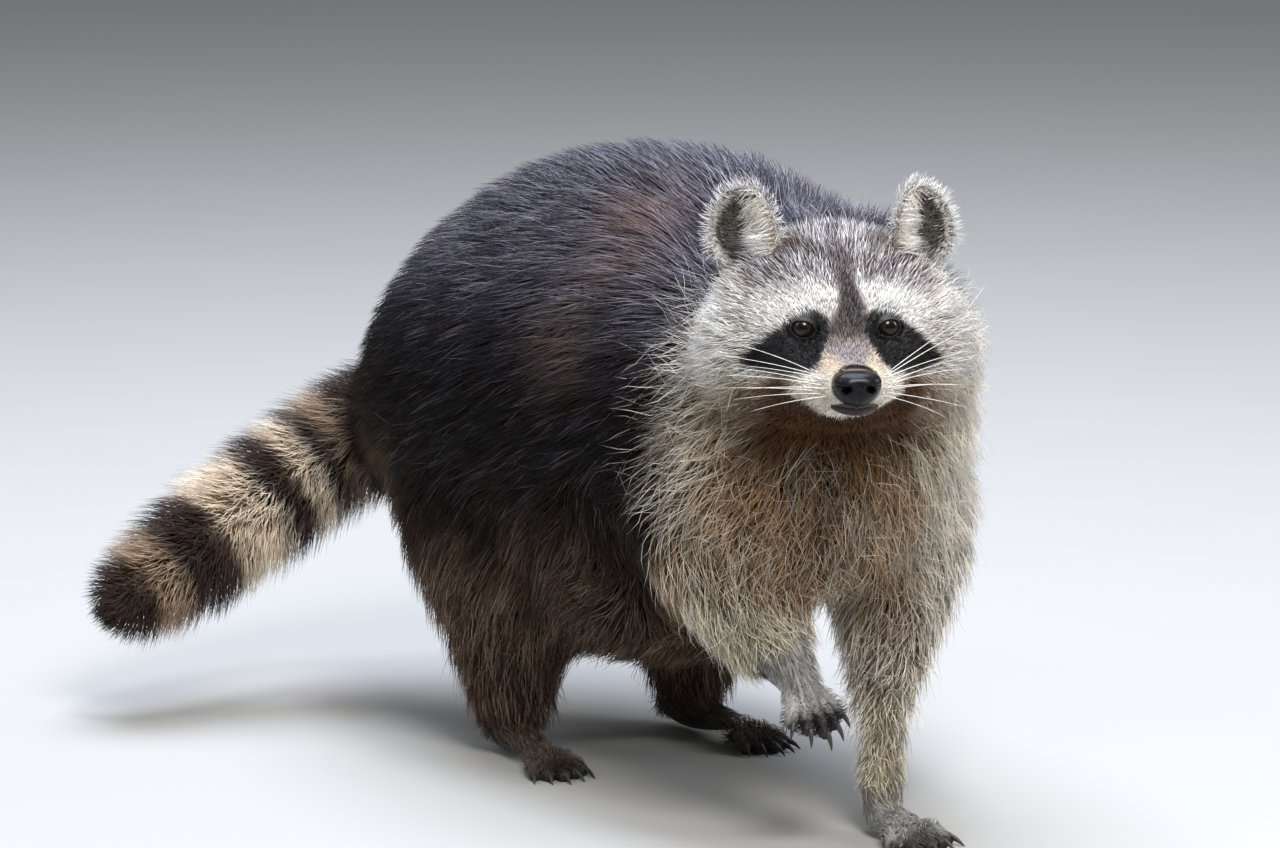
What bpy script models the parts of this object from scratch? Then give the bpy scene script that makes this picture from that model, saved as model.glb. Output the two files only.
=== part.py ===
"""Adult raccoon in a steady walking stance, life size, as closed solids.

The animal faces -Y, its left side is +X and the floor is z = 0.  The solids
reach out to the tips of the coat.  Sizes and places below are in centimetres
and CM turns them into metres.
"""

import math

import bmesh
import bpy
from mathutils import Matrix, Vector

CM = 0.01
GAP = 0.03                     # clearance between neighbouring solids
RING_SIDES = 32                # corners of a body ring
LOFT_STEPS = 4                 # rings between two named stations

# Head: its own frame has the point between the eyes as origin and -Y forward.
EYES_MIDDLE = Vector((-4.7, -12.5, 28.3))
HEAD_YAW = math.radians(-24.5)      # turned to the animal's right
HEAD_PITCH = math.radians(-2.5)     # muzzle slightly raised
EYE_PLACE = Vector((2.08, -0.1, 0.0))
EYE_RADIUS = 0.70
SOCKET_HALF = (0.87, 1.4, 0.87)
SOCKET_SHIFT = 0.5                  # the socket opens forwards
NOSE_CENTRE = Vector((0.0, -4.8, -2.35))
NOSE_HALF = Vector((1.22, 1.05, 0.95))
EAR_ROOT = Vector((4.05, 4.5, 3.05))
EAR_HALF = Vector((1.95, 0.62, 2.5))
EAR_LIFT = 1.60                     # centre of the ear above its root
EAR_CUP = 0.75                      # how far the rims come forward
EAR_HOLLOW = 0.3                    # depth of the hollow front, as a share of the back's
EAR_TURN = math.radians(28.0)       # facing outwards
EAR_SPLAY = math.radians(17.0)
EAR_TILT = math.radians(8.0)        # leaning back

# Cuts that part the body: boxes between two corners, and outlines in x and z.
HEAD_BOX = ((-12.0, -9.0, -6.4), (12.0, 7.6, 9.0))
NECK_CUT_PLACE = Vector((0.0, -2.5, 26.5))
NECK_CUT_SLOPE = math.radians(-45.0)
NECK_BOX = ((-14.0, -14.0, -14.0), (14.0, 0.0, 14.0))
FORELEG_OUTLINE = ((GAP / 2, -1.0), (15.0, -1.0), (15.0, 20.0), (10.0, 18.5), (GAP / 2, 11.8))
FORELEG_REACH = (-11.5, 7.0)        # front and back of the foreleg's cut
HINDLEG_OUTLINE = ((1.8, -1.0), (15.0, -1.0), (15.0, 19.0), (11.0, 16.5), (1.8, 8.6))
HINDLEG_REACH = (9.5, 33.5)
TAIL_CUTS = (2, 4, 5)               # tail stations where a length begins
TAIL_NAMES = ("tail_base", "tail_middle", "tail_tip")
TAIL_BOX = ((-3.5, -6.5, -30.0), (6.5, 6.5, 0.0))
CUTTER_REACH = 14.0                 # half width of the boxes that end a limb
FLOOR_REACH = 60.0
LEG_END_REACH = 5.0

# Paws: their own frame has the floor at z = 0 under the wrist or heel.
FOREPAW_PALM = (0.0, -1.7, 0.95)
FOREPAW_PALM_HALF = (1.5, 2.3, 1.15)
FOREPAW_TOES = (2.9, 2.5, 0.46, 15.0)    # start, length, radius, fan in degrees
HINDPAW_TOES = (6.0, 2.2, 0.48, 11.0)
TOE_COUNT = 5
TOE_SPACING = 0.42
TOE_SETBACK = 0.16                  # outer toes start further back
TOE_FOOTING = 0.2                   # how far the toes' middles ride above their radius
TOE_SHORTENING = 0.07
TOE_PROFILE = ((-0.35, 1.0, 0.12), (0.0, 1.05, 0.12), (0.45, 0.95, 0.1), (0.8, 0.95, -0.04),
               (1.0, 0.55, -0.08))  # share of the length, of the radius, lift
CLAW_LENGTH = 0.95
CLAW_RADIUS = 0.2
CLAW_DROP = 0.42
CLAW_ROWS = 3
HIND_SOLE = (
    (0.0, 2.5, 1.1, 0.6, 0.6, 0.6),
    (0.0, 2.0, 1.15, 1.15, 1.1, 1.1),
    (0.0, 0.6, 1.3, 1.4, 1.4, 1.3),
    (0.0, -2.0, 1.15, 1.4, 1.3, 1.15),
    (0.0, -4.6, 1.0, 1.65, 1.05, 1.0),
    (0.0, -6.2, 0.8, 1.6, 0.8, 0.8),
    (0.0, -7.0, 0.7, 0.9, 0.5, 0.5),
)
FOREPAW_LEFT_PLACE = Vector((2.0, -5.4, 0.0))
FOREPAW_RIGHT_WRIST = Vector((-4.0, -5.4, 10.3))
FOREPAW_RIGHT_PITCH = math.radians(42.0)
FOREPAW_RIGHT_YAW = math.radians(14.0)
FOREPAW_RIGHT_SHIFT = Vector((0.0, 0.2, -1.1))
HINDPAW_PLACE = Vector((5.7, 20.6, 0.0))
HINDPAW_TURN = math.radians(7.0)
WRIST_HEIGHT = 2.7
ANKLE_HEIGHT = 3.0
SOLE_CUT = 0.12                     # how much of each sole is planed flat

# Sizes of the sculpting grid, passes of smoothing and triangle budgets.
BODY_GRID = 0.5
BODY_SMOOTHING = 8
BODY_TRIANGLES = 3620
PAW_GRID = 0.16
PAW_SMOOTHING = 3
PAW_TRIANGLES = 330
SHARP_ANGLE = math.radians(50.0)

# Stations are (x, y, z, half width, half height above, half height below).
TRUNK = (
    (-0.4, -9.0, 17.6, 2.6, 2.6, 3.4),
    (-0.4, -7.4, 18.2, 5.6, 5.6, 6.0),
    (-0.2, -4.6, 19.4, 8.2, 8.6, 7.8),
    (0.0, 0.0, 20.6, 10.0, 11.4, 9.6),
    (0.0, 5.0, 21.0, 10.8, 13.2, 12.4),
    (0.0, 10.0, 21.0, 11.2, 13.9, 14.8),
    (0.0, 15.0, 20.4, 11.6, 14.1, 15.2),
    (0.0, 20.0, 19.6, 11.9, 13.9, 14.2),
    (0.0, 25.0, 18.8, 11.6, 12.9, 11.8),
    (0.0, 29.0, 18.2, 10.8, 11.2, 10.0),
    (0.0, 33.0, 17.6, 9.2, 8.8, 7.8),
    (0.0, 36.2, 17.0, 6.6, 5.8, 5.2),
    (0.0, 38.0, 16.6, 3.2, 2.8, 2.6),
)
NECK = (
    (0.8, 4.0, 23.0, 7.8, 7.0, 7.0),
    (0.5, -1.0, 24.0, 8.1, 7.0, 8.4),
    (0.2, -4.5, 25.2, 7.8, 6.4, 8.4),
    (-1.0, -7.6, 26.6, 6.7, 5.2, 7.4),
)
HEAD = (
    (0.0, -5.5, -2.5, 0.8, 0.7, 0.8),
    (0.0, -4.9, -2.5, 1.35, 1.0, 1.2),
    (0.0, -4.0, -2.4, 1.95, 1.3, 1.65),
    (0.0, -3.0, -2.3, 2.5, 1.5, 1.9),
    (0.0, -2.0, -2.1, 2.9, 1.7, 2.2),
    (0.0, -1.0, -2.0, 3.4, 2.15, 2.5),
    (0.0, 0.0, -1.8, 4.3, 2.9, 3.0),
    (0.0, 1.2, -1.8, 5.6, 4.5, 3.6),
    (0.0, 2.8, -1.8, 6.9, 5.9, 4.3),
    (0.0, 4.6, -1.8, 7.5, 6.8, 4.8),
    (0.0, 6.6, -1.6, 7.2, 6.7, 5.0),
    (0.0, 8.6, -1.2, 6.0, 5.6, 4.8),
    (0.0, 10.2, -0.8, 3.8, 3.9, 3.8),
)
# Leg stations run down the limb: half width, half depth behind and in front.
FORELEG_LEFT = (
    (5.2, 0.5, 21.0, 4.4, 4.6, 5.0),
    (5.9, -0.6, 17.0, 4.6, 4.6, 4.8),
    (5.5, -1.6, 13.6, 4.1, 4.2, 4.2),
    (4.2, -3.0, 10.4, 3.3, 3.2, 3.2),
    (2.9, -4.4, 7.2, 2.4, 2.3, 2.3),
    (2.2, -5.2, 4.2, 1.6, 1.5, 1.6),
    (2.0, -5.6, 2.2, 1.35, 1.3, 1.4),
    (2.0, -5.8, 1.0, 1.1, 1.0, 1.2),
)
FORELEG_RIGHT = (
    (-5.0, 0.8, 22.0, 4.2, 4.6, 4.6),
    (-5.6, 0.2, 18.2, 4.6, 4.8, 4.8),
    (-5.4, -1.2, 15.2, 4.4, 4.4, 4.4),
    (-4.9, -3.0, 12.8, 3.5, 3.5, 3.0),
    (-4.5, -4.2, 11.5, 2.8, 2.8, 2.3),
    (-4.1, -5.6, 10.1, 2.0, 1.9, 1.6),
    (-3.9, -6.5, 9.2, 1.3, 1.15, 1.1),
)
HINDLEG = (
    (6.6, 22.5, 19.0, 5.0, 8.0, 8.6),
    (6.9, 21.8, 14.5, 4.8, 7.2, 8.8),
    (6.7, 21.0, 10.5, 4.3, 5.6, 7.6),
    (6.2, 20.6, 7.2, 3.5, 3.8, 5.4),
    (5.8, 20.6, 4.4, 2.9, 3.0, 3.6),
    (5.7, 20.4, 2.6, 2.4, 2.6, 2.8),
    (5.7, 20.2, 1.0, 1.9, 2.2, 2.3),
)
TAIL = (
    (0.0, 33.0, 17.6, 4.0, 4.0, 4.0),
    (-1.4, 36.0, 16.8, 3.8, 3.9, 3.6),
    (-4.0, 38.2, 15.7, 3.5, 3.8, 3.6),
    (-7.2, 39.0, 14.2, 3.4, 3.7, 3.6),
    (-11.0, 39.2, 12.0, 3.5, 3.6, 3.7),
    (-15.0, 39.0, 9.8, 3.5, 3.5, 3.6),
    (-18.6, 38.6, 7.9, 3.1, 3.0, 3.2),
    (-21.0, 38.3, 6.8, 2.2, 2.2, 2.2),
    (-22.5, 38.1, 6.2, 0.9, 0.9, 0.9),
)


def clear_scene():
    """Remove every object of the open scene."""
    for item in list(bpy.data.objects):
        bpy.data.objects.remove(item, do_unlink=True)


def make_material(name, colour, roughness, metallic=0.0):
    """A plain Principled material."""
    material = bpy.data.materials.new(name)
    material.use_nodes = True
    shader = material.node_tree.nodes["Principled BSDF"]
    shader.inputs["Base Color"].default_value = (*colour, 1.0)
    shader.inputs["Roughness"].default_value = roughness
    shader.inputs["Metallic"].default_value = metallic
    material.diffuse_color = (*colour, 1.0)
    return material


def blend(a, b, c, d, t):
    """Catmull-Rom value between b and c."""
    return 0.5 * (2 * b + (c - a) * t + (2 * a - 5 * b + 4 * c - d) * t * t
                  + (3 * b - a - 3 * c + d) * t ** 3)


def smooth_stations(stations, steps=LOFT_STEPS):
    """More stations along a smooth curve through the named ones."""
    padded = [stations[0], *stations, stations[-1]]
    result = []
    for i in range(len(stations) - 1):
        a, b, c, d = padded[i:i + 4]
        for k in range(steps):
            t = k / steps
            result.append([blend(*values, t) for values in zip(a, b, c, d)])
    result.append(list(stations[-1]))
    return result


def loft(stations, reference=(1.0, 0.0, 0.0), sides=RING_SIDES, steps=LOFT_STEPS, frame=None):
    """A closed bmesh through rings of the stations, in centimetres."""
    rows = smooth_stations(stations, steps)
    bm = bmesh.new()
    centres = [Vector(row[:3]) for row in rows]
    rings = []
    for i, row in enumerate(rows):
        ahead = centres[min(i + 1, len(rows) - 1)]
        behind = centres[max(i - 1, 0)]
        tangent = (ahead - behind).normalized()
        side = Vector(reference)
        side = (side - tangent * side.dot(tangent)).normalized()
        up = side.cross(tangent)
        ring = []
        for k in range(sides):
            angle = 2 * math.pi * k / sides
            lift = row[4] if math.sin(angle) > 0 else row[5]
            place = (centres[i] + side * (row[3] * math.cos(angle))
                     + up * (lift * math.sin(angle)))
            ring.append(bm.verts.new(place))
        rings.append(ring)
    loops = [[bm.edges.new((ring[k - 1], ring[k])) for k in range(sides)] for ring in rings]
    for first, second in zip(loops, loops[1:]):
        bmesh.ops.bridge_loops(bm, edges=first + second)
    bm.faces.new(rings[0])
    bm.faces.new(rings[-1])
    bmesh.ops.recalc_face_normals(bm, faces=bm.faces)
    if frame is not None:
        bmesh.ops.transform(bm, matrix=frame, verts=bm.verts)
    return bm


def ellipsoid(centre, half_sizes, frame=None, segments=20, rings=12):
    """A closed ellipsoid in centimetres."""
    bm = bmesh.new()
    bmesh.ops.create_uvsphere(bm, u_segments=segments, v_segments=rings, radius=1.0)
    bmesh.ops.scale(bm, vec=Vector(half_sizes), verts=bm.verts)
    bmesh.ops.translate(bm, vec=Vector(centre), verts=bm.verts)
    if frame is not None:
        bmesh.ops.transform(bm, matrix=frame, verts=bm.verts)
    return bm


def to_object(name, bm):
    """Turn a bmesh in centimetres into an object in metres."""
    bmesh.ops.scale(bm, vec=Vector((CM, CM, CM)), verts=bm.verts)
    mesh = bpy.data.meshes.new(name)
    bm.to_mesh(mesh)
    bm.free()
    item = bpy.data.objects.new(name, mesh)
    bpy.context.scene.collection.objects.link(item)
    return item


def join(bmeshes):
    """One bmesh that holds all the given ones."""
    whole = bmesh.new()
    for bm in bmeshes:
        mesh = bpy.data.meshes.new("joining")
        bm.to_mesh(mesh)
        bm.free()
        whole.from_mesh(mesh)
        bpy.data.meshes.remove(mesh)
    return whole


def apply_modifiers(item):
    """Replace the object's mesh with its evaluated one and drop the modifiers."""
    graph = bpy.context.evaluated_depsgraph_get()
    mesh = bpy.data.meshes.new_from_object(item.evaluated_get(graph))
    old = item.data
    item.modifiers.clear()
    item.data = mesh
    bpy.data.meshes.remove(old)
    return item


def triangle_count(item):
    """Number of triangles of the object's own mesh."""
    item.data.calc_loop_triangles()
    return len(item.data.loop_triangles)


def sculpt(name, bmeshes, voxel, smoothing, triangles):
    """Merge overlapping forms into one smooth closed solid."""
    item = to_object(name, join(bmeshes))
    remesh = item.modifiers.new("merge", "REMESH")
    remesh.mode = "VOXEL"
    remesh.voxel_size = voxel * CM
    smooth = item.modifiers.new("smooth", "SMOOTH")
    smooth.factor = 0.5
    smooth.iterations = smoothing
    apply_modifiers(item)
    decimate = item.modifiers.new("decimate", "DECIMATE")
    decimate.ratio = min(1.0, triangles / triangle_count(item))
    decimate.use_collapse_triangulate = True
    return apply_modifiers(item)


def boolean(item, cutter, operation):
    """Apply one exact boolean with another object, which is then removed."""
    modifier = item.modifiers.new(operation.lower(), "BOOLEAN")
    modifier.operation = operation
    modifier.solver = "EXACT"
    modifier.object = cutter
    cutter.hide_render = True
    cutter.display_type = "WIRE"
    apply_modifiers(item)
    bpy.data.objects.remove(cutter, do_unlink=True)
    return item


def box(name, low, high, frame=None, grow=0.0):
    """A cutter box between two corners, given in centimetres."""
    low = Vector(low) - Vector((grow, grow, grow))
    high = Vector(high) + Vector((grow, grow, grow))
    bm = bmesh.new()
    bmesh.ops.create_cube(bm, size=1.0)
    bmesh.ops.scale(bm, vec=high - low, verts=bm.verts)
    bmesh.ops.translate(bm, vec=(high + low) / 2, verts=bm.verts)
    if frame is not None:
        bmesh.ops.transform(bm, matrix=frame, verts=bm.verts)
    return to_object(name, bm)


def copy_object(item, name):
    """A free-standing copy with its own mesh."""
    twin = bpy.data.objects.new(name, item.data.copy())
    bpy.context.scene.collection.objects.link(twin)
    return twin


def prism(name, outline, front, back, grow=0.0):
    """A cutter with a convex outline in x and z, running from front to back."""
    corners = [Vector(point) for point in outline]
    middle = sum(corners, Vector((0.0, 0.0))) / len(corners)
    bm = bmesh.new()
    ring = []
    for i, corner in enumerate(corners):
        normals = []
        for a, b in ((corners[i - 1], corner), (corner, corners[(i + 1) % len(corners)])):
            normal = Vector((b.y - a.y, a.x - b.x)).normalized()
            normals.append(normal if normal.dot(a - middle) > 0 else -normal)
        shift = (normals[0] + normals[1]) / (1.0 + normals[0].dot(normals[1]))
        place = corner + shift * grow
        ring.append(bm.verts.new((place.x, front - grow, place.y)))
    face = bm.faces.new(ring)
    result = bmesh.ops.extrude_face_region(bm, geom=[face])
    moved = [item for item in result["geom"] if isinstance(item, bmesh.types.BMVert)]
    bmesh.ops.translate(bm, vec=(0.0, back - front + 2 * grow, 0.0), verts=moved)
    bmesh.ops.recalc_face_normals(bm, faces=bm.faces)
    return to_object(name, bm)


def split_off(whole, name, shape, *sizes):
    """Take what lies inside a cutter shape as a new solid, with a thin gap."""
    part = copy_object(whole, name)
    boolean(part, shape("inside", *sizes), "INTERSECT")
    boolean(whole, shape("outside", *sizes, grow=GAP), "DIFFERENCE")
    return part


def head_frame():
    """Matrix from the head's own frame to the world, in centimetres."""
    turn = Matrix.Rotation(HEAD_YAW, 4, "Z") @ Matrix.Rotation(HEAD_PITCH, 4, "X")
    return Matrix.Translation(EYES_MIDDLE) @ turn


def mirror_stations(stations):
    """The same limb on the other side of the body."""
    return tuple((-row[0], *row[1:]) for row in stations)


def mirrored(outline):
    """The same outline on the other side of the body."""
    return tuple((-x, z) for x, z in outline)


def ear(name, side, head_solid, head):
    """A cupped ear that stands on the head; side is 1 left and -1 right."""
    bm = ellipsoid((0.0, 0.0, 0.0), EAR_HALF, segments=14, rings=9)
    for vert in bm.verts:
        across = vert.co.x / EAR_HALF.x
        if vert.co.y < 0.0:
            vert.co.y *= -EAR_HOLLOW
        vert.co.y -= EAR_CUP * across * across
        vert.co.z += EAR_LIFT
    turn = (Matrix.Rotation(side * EAR_TURN, 4, "Z") @ Matrix.Rotation(side * EAR_SPLAY, 4, "Y")
            @ Matrix.Rotation(-EAR_TILT, 4, "X"))
    root = Matrix.Translation((side * EAR_ROOT.x, EAR_ROOT.y, EAR_ROOT.z))
    bmesh.ops.transform(bm, matrix=head @ root @ turn, verts=bm.verts)
    item = to_object(name, bm)
    return boolean(item, swollen(head_solid), "DIFFERENCE")


def swollen(item):
    """A copy of a solid grown outwards by the gap, to cut its neighbour with."""
    twin = copy_object(item, "swollen")
    grow = twin.modifiers.new("grow", "DISPLACE")
    grow.strength = GAP * CM
    grow.mid_level = 0.0
    return apply_modifiers(twin)


def claw(place, heading):
    """A curved, tapering claw as a closed bmesh."""
    rows = []
    for k in range(CLAW_ROWS):
        t = k / (CLAW_ROWS - 1)
        step = Vector((math.sin(heading), -math.cos(heading), 0.0)) * (CLAW_LENGTH * t)
        radius = CLAW_RADIUS * (1.0 - 0.85 * t)
        low = place + step - Vector((0.0, 0.0, CLAW_DROP * t * t))
        rows.append((*low, radius, radius, radius * 1.2))
    return loft(rows, sides=5, steps=1)


def toes(start, length, radius, fan, frame):
    """Toe bmeshes and claw bmeshes of one paw, in its own frame."""
    toe_forms = []
    claw_forms = []
    middle = (TOE_COUNT - 1) / 2
    for k in range(TOE_COUNT):
        heading = math.radians(fan) * (k - middle)
        offset = abs(k - middle)
        reach = length * (1.0 - TOE_SHORTENING * offset ** 1.5)
        forward = Vector((math.sin(heading), -math.cos(heading), 0.0))
        root = Vector((TOE_SPACING * (k - middle), -start + TOE_SETBACK * offset,
                       radius + TOE_FOOTING))
        rows = []
        for t, size, lift in TOE_PROFILE:
            place = root + forward * (reach * t) + Vector((0.0, 0.0, lift))
            rows.append((*place, radius * size, radius * size, radius * size))
        toe_forms.append(loft(rows, sides=10, steps=2, frame=frame))
        tip = root + forward * (reach * 0.9) + Vector((0.0, 0.0, 0.05))
        nail = claw(tip, heading)
        bmesh.ops.transform(nail, matrix=frame, verts=nail.verts)
        claw_forms.append(nail)
    return toe_forms, claw_forms


def finish_paw(name, forms, claws, cut_frame, flat):
    """Sculpt one paw, add its claws and cut it at the wrist or ankle."""
    paw = sculpt(name, forms, PAW_GRID, PAW_SMOOTHING, PAW_TRIANGLES)
    for nail in claws:
        boolean(paw, to_object("nail", nail), "UNION")
    reach = CUTTER_REACH
    boolean(paw, box("above", (-reach, -reach, -GAP / 2), (reach, reach, reach), cut_frame),
            "DIFFERENCE")
    if flat:
        ground = box("ground", (-FLOOR_REACH, -FLOOR_REACH, -reach), (FLOOR_REACH, FLOOR_REACH, 0.0))
        boolean(paw, ground, "DIFFERENCE")
    return paw


def forepaw(name, stations, frame, cut_frame, flat):
    """One forepaw: palm, wrist, five toes and claws."""
    toe_forms, claws = toes(*FOREPAW_TOES, frame)
    forms = [ellipsoid(FOREPAW_PALM, FOREPAW_PALM_HALF, frame=frame), loft(stations[-4:])]
    return finish_paw(name, forms + toe_forms, claws, cut_frame, flat)


def hindpaw(name, side, stations):
    """One hind paw, set down from heel to toes."""
    frame = (Matrix.Translation((side * HINDPAW_PLACE.x, HINDPAW_PLACE.y, -SOLE_CUT))
             @ Matrix.Rotation(side * HINDPAW_TURN, 4, "Z"))
    toe_forms, claws = toes(*HINDPAW_TOES, frame)
    forms = [loft(HIND_SOLE, frame=frame), loft(stations[-4:])]
    cut_frame = Matrix.Translation((side * HINDPAW_PLACE.x, HINDPAW_PLACE.y, ANKLE_HEIGHT))
    return finish_paw(name, forms + toe_forms, claws, cut_frame, True)


def round_object(name, centre, half_sizes, frame):
    """A small ellipsoid as an object of its own."""
    return to_object(name, ellipsoid(centre, half_sizes, frame, segments=14, rings=8))


def face_parts(head_solid, head):
    """Eyes in open sockets and the nose pad set in the muzzle."""
    parts = []
    for name, side in (("eye_left", 1), ("eye_right", -1)):
        place = Vector((side * EYE_PLACE.x, EYE_PLACE.y, EYE_PLACE.z))
        opening = place - Vector((0.0, SOCKET_SHIFT, 0.0))
        boolean(head_solid, round_object("socket", opening, SOCKET_HALF, head), "DIFFERENCE")
        parts.append(round_object(name, place, (EYE_RADIUS,) * 3, head))
    nose = round_object("nose", NOSE_CENTRE, NOSE_HALF, head)
    boolean(head_solid, swollen(nose), "DIFFERENCE")
    return parts + [nose]


def tail_lengths(trunk):
    """Take the tail off the rump and divide it into its lengths."""
    centres = [Vector(row[:3]) for row in TAIL]
    frames = []
    for i in TAIL_CUTS:
        along = centres[-1] - centres[i]
        turn = along.to_track_quat("-Z", "Y").to_matrix().to_4x4()
        frames.append(Matrix.Translation(centres[i]) @ turn)
    lengths = [split_off(trunk, TAIL_NAMES[0], box, *TAIL_BOX, frames[0])]
    for name, frame in zip(TAIL_NAMES[1:], frames[1:]):
        lengths.append(split_off(lengths[-1], name, box, *TAIL_BOX, frame))
    return lengths


def main():
    clear_scene()
    coat_dark = make_material("coat_dark", (0.045, 0.04, 0.045), 0.8)
    coat_tan = make_material("coat_tan", (0.32, 0.25, 0.18), 0.8)
    coat_face = make_material("coat_face", (0.55, 0.5, 0.44), 0.8)
    coat_tail = make_material("coat_tail", (0.2, 0.15, 0.11), 0.8)
    paw_skin = make_material("paw_skin", (0.04, 0.038, 0.04), 0.6)
    nose_skin = make_material("nose_skin", (0.012, 0.012, 0.014), 0.25)
    eye_gloss = make_material("eye_gloss", (0.015, 0.01, 0.007), 0.05)

    head = head_frame()
    forms = [
        loft(TRUNK),
        loft(NECK),
        loft(HEAD, frame=head),
        loft(FORELEG_LEFT),
        loft(FORELEG_RIGHT),
        loft(HINDLEG),
        loft(mirror_stations(HINDLEG)),
        loft(TAIL, reference=(0.0, 1.0, 0.0)),
    ]
    trunk = sculpt("trunk", forms, BODY_GRID, BODY_SMOOTHING, BODY_TRIANGLES)

    # Paws: each wrist or ankle has a plane that parts the leg from the paw.
    left_cut = Matrix.Translation((FOREPAW_LEFT_PLACE.x, FOREPAW_LEFT_PLACE.y, WRIST_HEIGHT))
    left_frame = Matrix.Translation(FOREPAW_LEFT_PLACE - Vector((0.0, 0.0, SOLE_CUT)))
    forearm = Vector(FORELEG_RIGHT[-1][:3]) - Vector(FORELEG_RIGHT[-3][:3])
    right_cut = (Matrix.Translation(FOREPAW_RIGHT_WRIST)
                 @ forearm.to_track_quat("-Z", "Y").to_matrix().to_4x4())
    right_frame = (Matrix.Translation(FOREPAW_RIGHT_WRIST)
                   @ Matrix.Rotation(FOREPAW_RIGHT_YAW, 4, "Z")
                   @ Matrix.Rotation(FOREPAW_RIGHT_PITCH, 4, "X")
                   @ Matrix.Translation(FOREPAW_RIGHT_SHIFT))
    paws = [
        forepaw("forepaw_left", FORELEG_LEFT, left_frame, left_cut, True),
        forepaw("forepaw_right", FORELEG_RIGHT, right_frame, right_cut, False),
        hindpaw("hindpaw_left", 1, HINDLEG),
        hindpaw("hindpaw_right", -1, mirror_stations(HINDLEG)),
    ]
    reach = LEG_END_REACH
    below = ((-reach, -reach, -reach), (reach, reach, -GAP / 2))
    for cut in (left_cut, right_cut):
        boolean(trunk, box("wrist", *below, cut), "DIFFERENCE")
    for side in (1, -1):
        place = (side * HINDPAW_PLACE.x, HINDPAW_PLACE.y, ANKLE_HEIGHT)
        boolean(trunk, box("ankle", *below, Matrix.Translation(place)), "DIFFERENCE")

    # The body is parted with thin cuts.
    tail = tail_lengths(trunk)
    skull = split_off(trunk, "head", box, *HEAD_BOX, head)
    neck_frame = Matrix.Translation(NECK_CUT_PLACE) @ Matrix.Rotation(NECK_CUT_SLOPE, 4, "X")
    neck = split_off(trunk, "neck", box, *NECK_BOX, neck_frame)
    legs = []
    for name, outline, reach in (("foreleg", FORELEG_OUTLINE, FORELEG_REACH),
                                 ("hindleg", HINDLEG_OUTLINE, HINDLEG_REACH)):
        legs.append(split_off(trunk, name + "_left", prism, outline, *reach))
        legs.append(split_off(trunk, name + "_right", prism, mirrored(outline), *reach))
    ears = [ear("ear_left", 1, skull, head), ear("ear_right", -1, skull, head)]
    eye_left, eye_right, nose = face_parts(skull, head)

    finish([trunk, neck] + legs[2:], coat_dark)
    finish(legs[:2], coat_tan)
    finish([skull] + ears, coat_face)
    finish(tail, coat_tail)
    finish(paws, paw_skin)
    finish([nose], nose_skin)
    finish([eye_left, eye_right], eye_gloss)
    centre_on_floor()


def finish(items, material):
    """Give solids their material and smooth shading."""
    for item in items:
        item.data.materials.clear()
        item.data.materials.append(material)
        item.data.shade_smooth()
        item.data.set_sharp_from_angle(angle=SHARP_ANGLE)


def centre_on_floor():
    """Put the middle of the whole footprint over the origin."""
    solids = [item for item in bpy.data.objects if item.type == "MESH"]
    corners = [vert.co for item in solids for vert in item.data.vertices]
    middle_x = (min(c.x for c in corners) + max(c.x for c in corners)) / 2
    middle_y = (min(c.y for c in corners) + max(c.y for c in corners)) / 2
    for item in solids:
        item.location = (-middle_x, -middle_y, 0.0)


main()
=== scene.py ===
import math

import bmesh
import bpy
import numpy as np
from mathutils import Matrix, Vector
from mathutils.bvhtree import BVHTree
from mathutils.kdtree import KDTree


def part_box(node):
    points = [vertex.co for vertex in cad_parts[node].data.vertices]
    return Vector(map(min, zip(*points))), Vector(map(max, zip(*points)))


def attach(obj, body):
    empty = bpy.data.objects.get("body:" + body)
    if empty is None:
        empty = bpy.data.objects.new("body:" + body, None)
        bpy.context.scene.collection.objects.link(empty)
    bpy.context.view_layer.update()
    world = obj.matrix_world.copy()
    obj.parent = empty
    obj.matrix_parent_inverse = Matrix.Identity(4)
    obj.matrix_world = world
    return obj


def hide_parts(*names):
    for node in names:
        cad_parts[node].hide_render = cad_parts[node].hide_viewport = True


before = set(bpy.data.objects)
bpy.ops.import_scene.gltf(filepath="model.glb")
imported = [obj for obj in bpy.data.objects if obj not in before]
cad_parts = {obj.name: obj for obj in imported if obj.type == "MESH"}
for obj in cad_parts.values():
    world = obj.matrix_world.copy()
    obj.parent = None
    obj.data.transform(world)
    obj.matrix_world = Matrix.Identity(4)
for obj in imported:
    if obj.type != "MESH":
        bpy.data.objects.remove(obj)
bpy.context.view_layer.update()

# A life-size raccoon in mid-step.  Everything is worked out in centimetres in
# the body's own frame: -Y is ahead, +X its left, the floor z = 0 and the body's
# middle plane x = 0.  The head has a frame of its own with the point between
# the eyes as origin.  `to_world` brings finished points back to metres.

CM = 0.01
EYES_IN_BODY = np.array((-4.7, -12.5, 28.3))
EYE_DEPTH = 0.1                       # the eyes' middles lie this far ahead of the head's origin
MUZZLE_SLOPE = math.atan2(2.35, 4.7)  # the nose lies this much below the way ahead

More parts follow.
